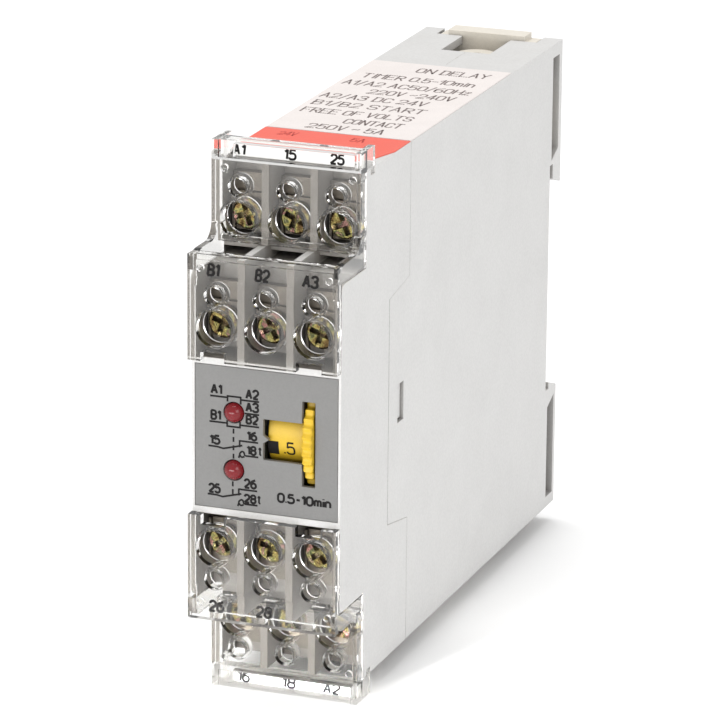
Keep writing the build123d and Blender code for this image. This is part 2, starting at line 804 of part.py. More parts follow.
def relay_armature():
    """Plate hinged at the frame's front edge; it swings towards the core."""
    return relay_box(armature_face, armature_face + 1, 2.0, relay_width - 2.0, 3.3, 12.4)


def relay_carrier():
    return relay_box(18.7, 20.2, 1.4, relay_width - 1.4, 4.4, 11.4)


def relay_moving_contacts():
    """Two contact blades moulded into the carrier, each with a rivet at its end."""
    blades = []
    for v in (3.2, relay_width - 3.2):
        blade = relay_box(20.2, 23.8, v - 0.9, v + 0.9, 5.2, 5.5)
        blade += relay_box(23.5, 23.8, v - 0.9, v + 0.9, 3.3, 5.5)
        y = at(relay_front) + rivet_front
        blade += rod_y(main_board_x + 4.1, relay_low + v, y, y + rivet_length, 0.7)
        blades.append(blade)
    return blades


def relay_fixed_contacts():
    """Break and make contacts, one pair per pole, standing in the base."""
    posts = []
    make = rivet_front - armature_travel(armature_pivot[1] - 3.3) - contact_gap
    rest = rivet_front + rivet_length + contact_gap
    for v in (3.2, relay_width - 3.2):
        for u, side in ((make, -1), (rest, 1)):
            y0, y1 = sorted((at(relay_front) + u, at(relay_front) + u + side * 0.6))
            post = rod_y(main_board_x + 4.0, relay_low + v, y0, y1, 0.6)
            u0, u1 = sorted((u + side * 0.5, u + side * 0.8))
            posts.append(post + relay_box(u0, u1, v - 0.8, v + 0.8, 2.2, 4.8))
    return posts


def transformer_core():
    x0 = main_board_x + 2.0
    y0, z0 = at(transformer_front), case_bottom + wall + 1.6
    length, height = transformer_length, transformer_height
    core = block(x0, x0 + transformer_stack, y0, y0 + length, z0, z0 + height)
    leg = length / 6
    x1 = x0 + transformer_stack
    for start in (y0 + leg, y0 + length - 2 * leg):
        core -= block(x0 - 1, x1 + 1, start, start + leg, z0 + leg, z0 + height - leg)
    return core


def transformer_bobbin():
    """Two flanges joined by a tube round the core's middle leg."""
    x0 = main_board_x + 2.0
    y0, z0 = at(transformer_front), case_bottom + wall + 1.6
    leg = transformer_length / 6
    low, high = z0 + leg + 0.1, z0 + transformer_height - leg - 0.1
    spool = transformer_ring(low, high, 0.9)
    for z in (low, high - 0.8):
        spool += transformer_ring(z, z + 0.8, leg - 0.1)
    pins = block(x0 - 2.0, x0 - 0.1, y0 + leg * 2, y0 + leg * 4, low, low + 0.8)
    return spool + pins


def transformer_block(side, reach, low, high):
    """Block round the core's middle leg: side along X and reach along Y beyond the leg."""
    x0 = main_board_x + 2.0
    y0 = at(transformer_front)
    leg = transformer_length / 6
    x1 = x0 + transformer_stack + side
    return block(x0 - side, x1, y0 + 2 * leg - reach, y0 + 4 * leg + reach, low, high)


def transformer_ring(low, high, reach):
    """Square ring round the core's middle leg."""
    ring = transformer_block(min(reach, 1.75), reach, low, high)
    return ring - transformer_block(0.05, 0.05, low - 1, high + 1)


def transformer_winding():
    z0 = case_bottom + wall + 1.6
    leg = transformer_length / 6
    low, high = z0 + leg + 0.95, z0 + transformer_height - leg - 0.95
    coil = transformer_block(1.6, leg - 0.5, low, high)
    return coil - transformer_block(0.95, 0.95, low - 1, high + 1)


def capacitors():
    """Two electrolytic cans that lie off the board."""
    x = main_board_x
    lower = case_bottom + wall + 7.0
    first = rod_x(x, x + 16, at(main_board_front + 9.0), lower, 5)
    second = rod_x(x, x + 11.5, at(main_board_front + 9.0), lower + 11.5, 4)
    return [first, second]


def film_capacitor():
    x = main_board_x
    return block(x, x + 10.5, at(main_board_front + 34), at(main_board_front + 47), -1.5, 4.5)


def timer_chip():
    """Timer circuit in a dual in-line case, with its pins."""
    x = main_board_x
    y0 = at(main_board_front + 7)
    chip = block(x + 0.6, x + 4.0, y0, y0 + 19, -3.2, 3.2)
    for pin in range(7):
        y = y0 + 1.9 + pin * 2.54
        for side in (-1, 1):
            z0, z1 = sorted((side * 3.2, side * 3.9))
            chip += block(x, x + 2.2, y - 0.25, y + 0.25, z0, z1)
    return chip


def resistors():
    x = main_board_x + 1.5
    top = case_top - wall
    return [rod_z(x, at(main_board_front + 5 + 3.4 * n), top - 9.5, top - 3.0, 1.15) for n in range(6)]


def rectifier_diodes():
    x = main_board_x + 1.6
    return [rod_z(x, at(main_board_front + 29 + 3.6 * n), -7.9, -2.8, 1.3) for n in range(2)]


def write(name, shape):
    """One STEP file per node; a list of solids becomes one compound."""
    solids = shape if isinstance(shape, list) else [shape]
    if isinstance(shape, list):
        flat = [solid for item in solids for solid in item.solids()]
        shape = Compound(children=[Solid(solid.wrapped) for solid in flat])
    export_step(shape, os.path.join("parts", name + ".step"))


def main():
    os.makedirs("parts", exist_ok=True)
    nodes = {
        "rear_case": rear_case(), "front_shell": front_shell(), "front_plate": front_plate(),
        "upper_terminal_cover": terminal_cover(1), "lower_terminal_cover": terminal_cover(-1),
        "marker_strips": [marker_strip(1), marker_strip(-1)],
        "rating_label": rating_label(), "colour_band": colour_band(),
        "rail_slider": rail_slider(), "slider_springs": slider_springs(),
        "setting_wheel": setting_wheel(), "scale_drum": scale_drum(), "setting_spindle": setting_spindle(),
        "potentiometer": potentiometer(), "front_board": front_board(), "board_link": board_link(),
        "main_board": main_board(), "terminal_boards": [terminal_board(1), terminal_board(-1)],
        "terminal_busbars": terminal_busbars(),
        "relay_base": relay_base(), "relay_cover": relay_cover(), "relay_coil": relay_coil(),
        "relay_yoke": relay_yoke(), "relay_armature": relay_armature(), "relay_carrier": relay_carrier(),
        "relay_moving_contacts": relay_moving_contacts(), "relay_fixed_contacts": relay_fixed_contacts(),
        "transformer_core": transformer_core(), "transformer_bobbin": transformer_bobbin(),
        "transformer_winding": transformer_winding(), "capacitors": capacitors(),
        "timer_chip": timer_chip(), "film_capacitor": film_capacitor(), "resistors": resistors(),
        "rectifier_diodes": rectifier_diodes(),
        "indicator_lamps": [solid for z in LAMP_HEIGHTS for solid in lamp(z)],
    }
    for name, place in TERMINALS.items():
        nodes["terminal_screw_" + name] = terminal_screw(*place)
        nodes["clamp_plate_" + name] = clamp_plate(*place)
    for name, shape in nodes.items():
        write(name, shape)
    print(len(nodes), "nodes")


main()
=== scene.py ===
import math

import bmesh
import bpy
from mathutils import Euler, Matrix, Vector


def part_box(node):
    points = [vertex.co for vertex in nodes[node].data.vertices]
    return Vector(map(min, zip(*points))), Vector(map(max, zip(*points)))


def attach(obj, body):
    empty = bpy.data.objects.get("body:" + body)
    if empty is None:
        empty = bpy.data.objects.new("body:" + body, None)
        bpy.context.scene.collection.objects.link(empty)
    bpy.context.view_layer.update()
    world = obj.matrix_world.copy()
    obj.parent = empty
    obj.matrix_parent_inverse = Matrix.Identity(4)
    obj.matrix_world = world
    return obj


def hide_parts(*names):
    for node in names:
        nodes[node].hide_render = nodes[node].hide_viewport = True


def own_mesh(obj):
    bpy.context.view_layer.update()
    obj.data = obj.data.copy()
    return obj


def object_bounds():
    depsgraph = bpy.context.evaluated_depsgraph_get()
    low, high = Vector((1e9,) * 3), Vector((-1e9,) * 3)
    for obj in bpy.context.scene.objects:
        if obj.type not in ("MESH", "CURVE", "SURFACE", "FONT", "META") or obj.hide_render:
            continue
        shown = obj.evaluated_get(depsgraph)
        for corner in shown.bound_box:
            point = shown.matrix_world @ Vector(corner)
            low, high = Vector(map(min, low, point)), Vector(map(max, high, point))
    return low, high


# Looks of a DIN rail timer: clear covers, printed plate, setting wheel, lamps and terminals.
# Metres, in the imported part's own frame: +X right seen from the front, +Y back to the rail, +Z up.

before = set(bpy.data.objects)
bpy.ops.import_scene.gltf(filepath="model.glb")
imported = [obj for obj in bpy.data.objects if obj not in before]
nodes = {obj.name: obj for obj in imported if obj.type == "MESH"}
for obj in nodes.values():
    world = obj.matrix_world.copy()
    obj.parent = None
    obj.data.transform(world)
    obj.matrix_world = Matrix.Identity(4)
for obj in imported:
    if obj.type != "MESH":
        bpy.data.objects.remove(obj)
cad_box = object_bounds()

MM = 0.001
FLOAT, COLOUR, VECTOR = "NodeSocketFloat", "NodeSocketColor", "NodeSocketVector"
MATERIAL, GEOMETRY = "NodeSocketMaterial", "NodeSocketGeometry"
INK_HEIGHT = 0.02 * MM
SCREW_HEAD = 1.9 * MM
SPRING_WIRE = 0.22 * MM
SCREWS = ("a1", "15", "25", "b1", "b2", "a3", "26", "28", "spare", "16", "18", "a2")


# ---------------------------------------------------------------- helpers

def link(name, data):
    made = bpy.data.objects.new(name, data)
    bpy.context.scene.collection.objects.link(made)
    return made


def wire(tree, kind, inputs=None, **settings):
    """Adds a node. inputs maps its sockets to values or to other nodes' outputs."""
    made = tree.nodes.new(kind)
    for key, value in settings.items():
        setattr(made, key, value)
    for key, value in (inputs or {}).items():
        if isinstance(value, bpy.types.NodeSocket):
            tree.links.new(value, made.inputs[key])
        else:
            made.inputs[key].default_value = value
    return made


def maths(tree, operation, *values):
    return wire(tree, "ShaderNodeMath", dict(enumerate(values)), operation=operation).outputs[0]


def tinted(tree, factor, first, second, blend="MIX"):
    sockets = {0: factor, 6: first, 7: second}
    made = wire(tree, "ShaderNodeMix", sockets, data_type="RGBA", blend_type=blend)
    return made.outputs[2]


def noise(tree, place, scale, detail=2.0, distortion=0.0):
    sockets = {"Vector": place, "Scale": scale, "Detail": detail, "Distortion": distortion}
    return wire(tree, "ShaderNodeTexNoise", sockets).outputs[0]


def evaluated(holder):
    """Plain mesh of an object with its modifiers applied."""
    depsgraph = bpy.context.evaluated_depsgraph_get()
    mesh = bpy.data.meshes.new_from_object(holder.evaluated_get(depsgraph))
    mesh.name = holder.name
    return mesh


def into_mesh(shape, name):
    """Ends a bmesh and returns it as a mesh."""
    mesh = bpy.data.meshes.new(name)
    shape.to_mesh(mesh)
    shape.free()
    return mesh


def smooth(mesh, sharp_degrees=None):
    """Smooth shading, with the edges above the angle left sharp."""
    mesh.polygons.foreach_set("use_smooth", [True] * len(mesh.polygons))
    if sharp_degrees is not None:
        mesh.set_sharp_from_angle(angle=math.radians(sharp_degrees))


def closed(mesh, distance=1e-7):
    """Merges doubles and turns the faces outwards."""
    shape = bmesh.new()
    shape.from_mesh(mesh)
    bmesh.ops.remove_doubles(shape, verts=shape.verts, dist=distance)
    bmesh.ops.recalc_face_normals(shape, faces=shape.faces)
    shape.to_mesh(mesh)
    shape.free()


# ---------------------------------------------------------------- shader groups

def shader_group(name, inputs, outputs):
    group = bpy.data.node_groups.new(name, "ShaderNodeTree")
    for label, kind, value in inputs:
        group.interface.new_socket(label, in_out="INPUT", socket_type=kind).default_value = value
    for label, kind in outputs:
        group.interface.new_socket(label, in_out="OUTPUT", socket_type=kind)
    given = wire(group, "NodeGroupInput").outputs
    result = wire(group, "NodeGroupOutput").inputs
    return group, given, result


def grain_group():
    """Moulded, printed or painted surface: mottled colour, uneven gloss and a fine texture."""
    group, given, result = shader_group("Fine grain", [
        ("Colour", COLOUR, (0.8, 0.8, 0.8, 1)), ("Mottle", FLOAT, 0.04), ("Grains", FLOAT, 3500.0),
        ("Roughness", FLOAT, 0.5), ("Gloss spread", FLOAT, 0.1), ("Depth", FLOAT, 0.15),
    ], [("Colour", COLOUR), ("Roughness", FLOAT), ("Normal", VECTOR)])
    place = wire(group, "ShaderNodeTexCoord").outputs["Object"]
    fine = noise(group, place, given["Grains"])
    broad = noise(group, place, 110.0, 4.0, 0.4)
    limits = {"Value": fine, "From Min": 0.38, "From Max": 0.62}
    specks = wire(group, "ShaderNodeMapRange", limits).outputs[0]
    both = maths(group, "ADD", maths(group, "MULTIPLY", specks, 0.6), broad)
    shade = maths(group, "MULTIPLY", both, given["Mottle"])
    group.links.new(tinted(group, shade, given["Colour"], (0.02, 0.02, 0.02, 1)), result["Colour"])
    uneven = maths(group, "MULTIPLY", maths(group, "SUBTRACT", broad, 0.5), given["Gloss spread"])
    group.links.new(maths(group, "ADD", given["Roughness"], uneven), result["Roughness"])
    sockets = {"Strength": given["Depth"], "Distance": 0.05 * MM, "Height": fine}
    group.links.new(wire(group, "ShaderNodeBump", sockets).outputs[0], result["Normal"])
    return group


def dust_group():
    """A little dust on faces that look up, in soft patches."""
    group, given, result = shader_group("Settled dust", [
        ("Colour", COLOUR, (0.8, 0.8, 0.8, 1)), ("Dust", COLOUR, (0.42, 0.39, 0.35, 1)),
        ("Amount", FLOAT, 0.1),
    ], [("Colour", COLOUR)])
    normal = wire(group, "ShaderNodeNewGeometry").outputs["Normal"]
    up = wire(group, "ShaderNodeSeparateXYZ", {0: normal}).outputs["Z"]
    place = wire(group, "ShaderNodeTexCoord").outputs["Object"]
    patches = noise(group, place, 320.0, 5.0)
    lying = maths(group, "MULTIPLY", maths(group, "MAXIMUM", up, 0.12), patches)
    factor = maths(group, "MULTIPLY", lying, given["Amount"])
    group.links.new(tinted(group, factor, given["Colour"], given["Dust"]), result["Colour"])
    return group


FILM_STOPS = (
    (0.3, (0.07, 0.04, 0.022)), (0.42, (0.16, 0.105, 0.04)), (0.5, (0.36, 0.31, 0.11)),
    (0.57, (0.12, 0.145, 0.07)), (0.64, (0.36, 0.17, 0.16)), (0.74, (0.20, 0.145, 0.075)),
)


def film_group():
    """Chromate or oil film on metal: patches of gold, green, rose and brown."""
    group, given, result = shader_group("Metal film", [
        ("Patches", FLOAT, 700.0), ("Strength", FLOAT, 1.0),
        ("Metal", COLOUR, (0.6, 0.58, 0.54, 1)), ("Roughness", FLOAT, 0.25),
    ], [("Colour", COLOUR), ("Roughness", FLOAT), ("Normal", VECTOR)])
    place = wire(group, "ShaderNodeTexCoord").outputs["Object"]
    patches = noise(group, place, given["Patches"], 3.0, 0.8)
    ramp = wire(group, "ShaderNodeValToRGB", {0: patches})
    while len(ramp.color_ramp.elements) < len(FILM_STOPS):
        ramp.color_ramp.elements.new(0.5)
    for stop, (where, colour) in zip(ramp.color_ramp.elements, FILM_STOPS):
        stop.position = where
        stop.color = (*colour, 1)
    coloured = tinted(group, given["Strength"], given["Metal"], ramp.outputs[0])
    group.links.new(coloured, result["Colour"])
    scratches = noise(group, place, 5200.0, 3.0)
    uneven = maths(group, "MULTIPLY", scratches, 0.22)
    group.links.new(maths(group, "ADD", given["Roughness"], uneven), result["Roughness"])
    sockets = {"Strength": 0.2, "Distance": 0.04 * MM, "Height": scratches}
    group.links.new(wire(group, "ShaderNodeBump", sockets).outputs[0], result["Normal"])
    return group


def painted_shade_group():
    """Painted shade: the colour turns towards the shade colour where a surface is closely
    surrounded, where shade falls.
    """
    group, given, result = shader_group("Shaded recess", [
        ("Colour", COLOUR, (0.8, 0.8, 0.8, 1)), ("Shade", COLOUR, (0.1, 0.085, 0.07, 1)),
        ("Reach", FLOAT, 6 * MM), ("Strength", FLOAT, 0.8),
    ], [("Colour", COLOUR)])
    sockets = {"Distance": given["Reach"]}
    open_ = wire(group, "ShaderNodeAmbientOcclusion", sockets, samples=6).outputs["AO"]
    limits = {"Value": open_, "From Min": 0.72, "From Max": 0.12}
    closed_in = wire(group, "ShaderNodeMapRange", limits).outputs[0]
    factor = maths(group, "MULTIPLY", closed_in, given["Strength"])
    group.links.new(tinted(group, factor, given["Colour"], given["Shade"]), result["Colour"])
    return group


def rub_group():
    """Sharp outer edges that hands and rails have rubbed to another shade."""
    group, given, result = shader_group("Edge rub", [
        ("Colour", COLOUR, (0.8, 0.8, 0.8, 1)), ("Rubbed", COLOUR, (0.34, 0.28, 0.22, 1)),
        ("Width", FLOAT, 0.35 * MM), ("Strength", FLOAT, 0.4),
    ], [("Colour", COLOUR)])
    sockets = {"Distance": given["Width"]}
    solid = wire(group, "ShaderNodeAmbientOcclusion", sockets,
                 samples=6, inside=True, only_local=True)
    edge = wire(group, "ShaderNodeMapRange", {
        "Value": solid.outputs["AO"], "From Min": 0.62, "From Max": 0.3}).outputs[0]
    place = wire(group, "ShaderNodeTexCoord").outputs["Object"]
    broken = wire(group, "ShaderNodeMapRange", {
        "Value": noise(group, place, 420.0, 4.0), "From Min": 0.35, "From Max": 0.6}).outputs[0]
    factor = maths(group, "MULTIPLY", maths(group, "MULTIPLY", edge, broken), given["Strength"])
    group.links.new(tinted(group, factor, given["Colour"], given["Rubbed"]), result["Colour"])
    return group


GRAIN, DUST, FILM = grain_group(), dust_group(), film_group()
PAINTED_SHADE, RUB = painted_shade_group(), rub_group()


# ---------------------------------------------------------------- materials

def paint(name, group, values, dust=0.0, recess=None, rub=0.0, **constants):
    """Material whose colour, roughness and normal come from shared groups."""
    made = bpy.data.materials.new(name)
    made.use_nodes = True
    tree = made.node_tree
    shader = tree.nodes["Principled BSDF"]
    surface = wire(tree, "ShaderNodeGroup", node_tree=group)
    for key, value in values.items():
        surface.inputs[key].default_value = value
    colour = surface.outputs["Colour"]
    layers = [(DUST, {"Amount": dust})] if dust else []
    # recess gives reach in millimetres, strength and maybe a shade colour, for painted shade where
    # the surface is closely surrounded.
    if recess:
        reach, strength, *shade = recess
        amounts = {"Reach": reach * MM, "Strength": strength}
        layers.append((PAINTED_SHADE, {**amounts, "Shade": (*shade, 1)} if shade else amounts))
    if rub:
        layers.append((RUB, {"Strength": rub}))
    for layer_tree, amounts in layers:
        layer = wire(tree, "ShaderNodeGroup", node_tree=layer_tree)
        for key, value in amounts.items():
            layer.inputs[key].default_value = value
        tree.links.new(colour, layer.inputs["Colour"])
        colour = layer.outputs["Colour"]
    tree.links.new(colour, shader.inputs["Base Color"])
    tree.links.new(surface.outputs["Roughness"], shader.inputs["Roughness"])
    tree.links.new(surface.outputs["Normal"], shader.inputs["Normal"])
    for key, value in constants.items():
        shader.inputs[key.replace("_", " ")].default_value = value
    return made


def moulded(name, colour, roughness, grains=3500.0, depth=0.15, mottle=0.04, dust=0.0, recess=None,
            rub=0.0, **constants):
    values = {"Colour": (*colour, 1), "Roughness": roughness, "Grains": grains, "Depth": depth,
              "Mottle": mottle}
    return paint(name, GRAIN, values, dust, recess, rub, **constants)


def metal(name, colour, roughness, film=0.0, patches=700.0, recess=None):
    values = {"Metal": (*colour, 1), "Roughness": roughness, "Strength": film, "Patches": patches}
    return paint(name, FILM, values, recess=recess, Metallic=1.0)


def let_light_through(material, colour):
    """Lamps shine straight through this clear material."""
    tree = material.node_tree
    solid = tree.nodes["Principled BSDF"].outputs[0]
    passed = wire(tree, "ShaderNodeBsdfTransparent", {"Color": (*colour, 1)}).outputs[0]
    lamp_ray = wire(tree, "ShaderNodeLightPath").outputs["Is Shadow Ray"]
    mixed = wire(tree, "ShaderNodeMixShader", {0: lamp_ray, 1: solid, 2: passed}).outputs[0]
    tree.links.new(mixed, tree.nodes["Material Output"].inputs["Surface"])
    return material


CLEAR = {"Transmission_Weight": 1.0, "IOR": 1.5}
FINISHES = {
    # The housing's recess values (9.0, 0.85) paint shade into its cells, slots and hollows.
    "case_plastic": moulded(
        "Housing plastic", (0.655, 0.65, 0.64), 0.55, 2600.0, 0.35, 0.09, 0.2, (9.0, 0.85), 0.45),
    "plate_plastic": moulded("Plate plastic", (0.198, 0.196, 0.191), 0.5, 3200.0, 0.15, 0.08),
    "clear_plastic": let_light_through(
        moulded("Clear plastic", (0.965, 0.96, 0.945), 0.05, 450.0, 0.04, 0.02, **CLEAR),
        (0.82, 0.81, 0.79)),
    "marker_plastic": moulded("Marker plastic", (0.90, 0.89, 0.87), 0.4, dust=0.1),
    "label_paper": moulded("Label paper", (0.84, 0.78, 0.755), 0.62, 5200.0, 0.2, 0.1, 0.2),
    "band_paper": moulded("Band paper", (0.83, 0.10, 0.058), 0.5, 5200.0, 0.15, 0.06, 0.1),
    # The slider's recess values (5.0, 0.5) paint shade where it is closely surrounded.
    "slider_plastic": moulded(
        "Slider plastic", (0.76, 0.71, 0.62), 0.45, 2600.0, 0.2, 0.06, 0.2, (5.0, 0.5), 0.3),
    "spring_steel": metal("Spring steel", (0.60, 0.60, 0.58), 0.25),
    # The recess values paint a dark yellow-brown shade where the yellow parts sit deep, as on the
    # drum behind its window.
    "yellow_plastic": moulded(
        "Yellow plastic", (0.72, 0.47, 0.022), 0.42, 3000.0, 0.12, 0.07,
        recess=(5.0, 0.95, 0.16, 0.10, 0.004)),
    "spindle_plastic": moulded("Spindle plastic", (0.75, 0.75, 0.72), 0.45),
    "black_plastic": moulded("Black plastic", (0.02, 0.02, 0.022), 0.45),
    "pot_plastic": moulded("Potentiometer plastic", (0.018, 0.02, 0.03), 0.5),
    # The recess values of the board, brass, screws and clamps paint shade where they are closely
    # surrounded.
    "board_laminate": moulded(
        "Board laminate", (0.03, 0.12, 0.045), 0.4, 2200.0, 0.25, 0.2, recess=(8.0, 0.9)),
    "plated_brass": metal("Plated brass", (0.30, 0.29, 0.27), 0.35, 0.1, 400.0, (8.0, 0.9)),
    "chromated_steel": metal("Chromated steel", (0.6, 0.58, 0.5), 0.16, 1.0, 480.0, (1.6, 1.0)),
    "clamp_steel": metal("Clamp steel", (0.30, 0.29, 0.27), 0.32, 0.15, 380.0, (8.0, 0.9)),
    "lamp_red": moulded(
        "Lamp red", (0.18, 0.005, 0.009), 0.12, 900.0, 0.02, 0.05, Specular_IOR_Level=0.45),
    "relay_plastic": moulded("Relay plastic", (0.02, 0.05, 0.12), 0.45),
    "relay_clear": let_light_through(
        moulded("Relay cover", (0.85, 0.87, 0.9), 0.08, 450.0, 0.05, **CLEAR), (0.85, 0.86, 0.88)),
    "copper_winding": metal("Copper winding", (0.80, 0.36, 0.16), 0.3),
    "soft_iron": metal("Soft iron", (0.48, 0.47, 0.46), 0.35),
    "contact_alloy": metal("Contact alloy", (0.75, 0.74, 0.70), 0.25),
    "core_laminations": metal("Core laminations", (0.30, 0.29, 0.28), 0.4),
    "bobbin_plastic": moulded("Bobbin plastic", (0.75, 0.73, 0.66), 0.5),
    "capacitor_sleeve": moulded("Capacitor sleeve", (0.03, 0.05, 0.16), 0.3),
    "film_plastic": moulded("Film capacitor", (0.55, 0.08, 0.04), 0.35),
    "resistor_lacquer": moulded("Resistor lacquer", (0.55, 0.42, 0.25), 0.4),
}
BLACK_INK = moulded(
    "Black ink", (0.010, 0.009, 0.009), 0.6, 4000.0, 0.1, 0.1, Specular_IOR_Level=0.15)
GREY_INK = moulded(
    "Grey ink", (0.24, 0.195, 0.185), 0.6, 4000.0, 0.1, 0.2, Specular_IOR_Level=0.2)
RED_INK = moulded("Dark ink on the band", (0.55, 0.05, 0.035), 0.55, 4000.0, 0.1, 0.1)

for node in nodes.values():
    for place in node.material_slots:
        place.material = FINISHES[place.material.name]


def finished(name, mesh, slot, body="case", replaced=(), material=None):
    """Names a piece, gives it its finish and hands it to the frame."""
    piece = link(name, mesh)
    mesh.materials.clear()
    mesh.materials.append(material or FINISHES[slot])
    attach(piece, body)
    if replaced:
        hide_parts(*replaced)
    return piece


# ---------------------------------------------------------------- softened copies

FLAT_ANGLE = math.radians(0.6)      # faces that lie flatter than this to each other become one
EDGE_ANGLE = math.radians(34)       # sharper edges than this are rounded


def softened(node, width, segments=2):
    """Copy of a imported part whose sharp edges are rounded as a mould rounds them."""
    mesh = nodes[node].data.copy()
    shape = bmesh.new()
    shape.from_mesh(mesh)
    bmesh.ops.remove_doubles(shape, verts=shape.verts, dist=1e-6)
    bmesh.ops.dissolve_limit(shape, angle_limit=FLAT_ANGLE, verts=shape.verts, edges=shape.edges)
    shape.to_mesh(mesh)
    shape.free()
    smooth(mesh)
    holder = link(node + "_softened", mesh)
    edge = holder.modifiers.new("edges", "BEVEL")
    edge.width = width
    edge.segments = segments
    edge.limit_method = "ANGLE"
    edge.angle_limit = EDGE_ANGLE
    even = holder.modifiers.new("shading", "WEIGHTED_NORMAL")
    even.weight = 100
    even.keep_sharp = True
    result = evaluated(holder)
    bpy.data.objects.remove(holder)
    return result


for piece, node, width, slot, body in (
    ("case_front", "front_shell", 0.12, "case_plastic", "case"),
    ("case_rear", "rear_case", 0.22, "case_plastic", "case"),
    ("cover_upper", "upper_terminal_cover", 0.12, "clear_plastic", "case"),
    ("cover_lower", "lower_terminal_cover", 0.12, "clear_plastic", "case"),
    ("printed_plate", "front_plate", 0.1, "plate_plastic", "case"),
    ("rail_lock", "rail_slider", 0.25, "slider_plastic", "rail_slider"),
    ("marker_pair", "marker_strips", 0.12, "marker_plastic", "case"),
    ("dial_drum", "scale_drum", 0.2, "yellow_plastic", "setting_wheel"),
):
    finished(piece, softened(node, width * MM), slot, body, (node,))


# ---------------------------------------------------------------- shapes grown by node trees

def shape_tree(name, inputs):
    tree = bpy.data.node_groups.new(name, "GeometryNodeTree")
    tree.interface.new_socket("Lines", in_out="INPUT", socket_type=GEOMETRY)
    for label, kind, value in inputs:
        socket = tree.interface.new_socket(label, in_out="INPUT", socket_type=kind)
        socket.default_value = value
    tree.interface.new_socket("Material", in_out="INPUT", socket_type=MATERIAL)
    tree.interface.new_socket("Shape", in_out="OUTPUT", socket_type=GEOMETRY)
    return tree, wire(tree, "NodeGroupInput").outputs


def end_tree(tree, shape, given):
    """Every tree ends in real geometry with its material."""
    solid = wire(tree, "GeometryNodeRealizeInstances", {0: shape}).outputs[0]
    sockets = {0: solid, "Material": given["Material"]}
    painted = wire(tree, "GeometryNodeSetMaterial", sockets).outputs[0]
    wire(tree, "NodeGroupOutput", {0: painted})
    return tree


def joined(tree, *shapes):
    made = wire(tree, "GeometryNodeJoinGeometry")
    for shape in shapes:
        tree.links.new(shape, made.inputs[0])
    return made.outputs[0]


def moved(tree, shape, **sockets):
    return wire(tree, "GeometryNodeTransform", {0: shape, **sockets}).outputs[0]


def vector(tree, x=0.0, y=0.0, z=0.0):
    return wire(tree, "ShaderNodeCombineXYZ", {0: x, 1: y, 2: z}).outputs[0]


def grown(tree, material, start=None, **values):
    """Plain mesh that a node tree makes from the given sizes."""
    holder = link(tree.name, start or bpy.data.meshes.new(tree.name))
    modifier = holder.modifiers.new("shape", "NODES")
    modifier.node_group = tree
    values = {key.replace("_", " "): value for key, value in values.items()}
    values["Material"] = material
    for item in tree.interface.items_tree:
        if item.item_type == "SOCKET" and item.in_out == "INPUT" and item.name in values:
            modifier[item.identifier] = values[item.name]
    mesh = evaluated(holder)
    bpy.data.objects.remove(holder)
    return mesh


THREAD_CORE, THREAD_PATH, THREAD_RIDGE = 0.84, 0.88, 0.12   # shares of the shank's radius
THREADED = 0.94                                             # share of the shank's length


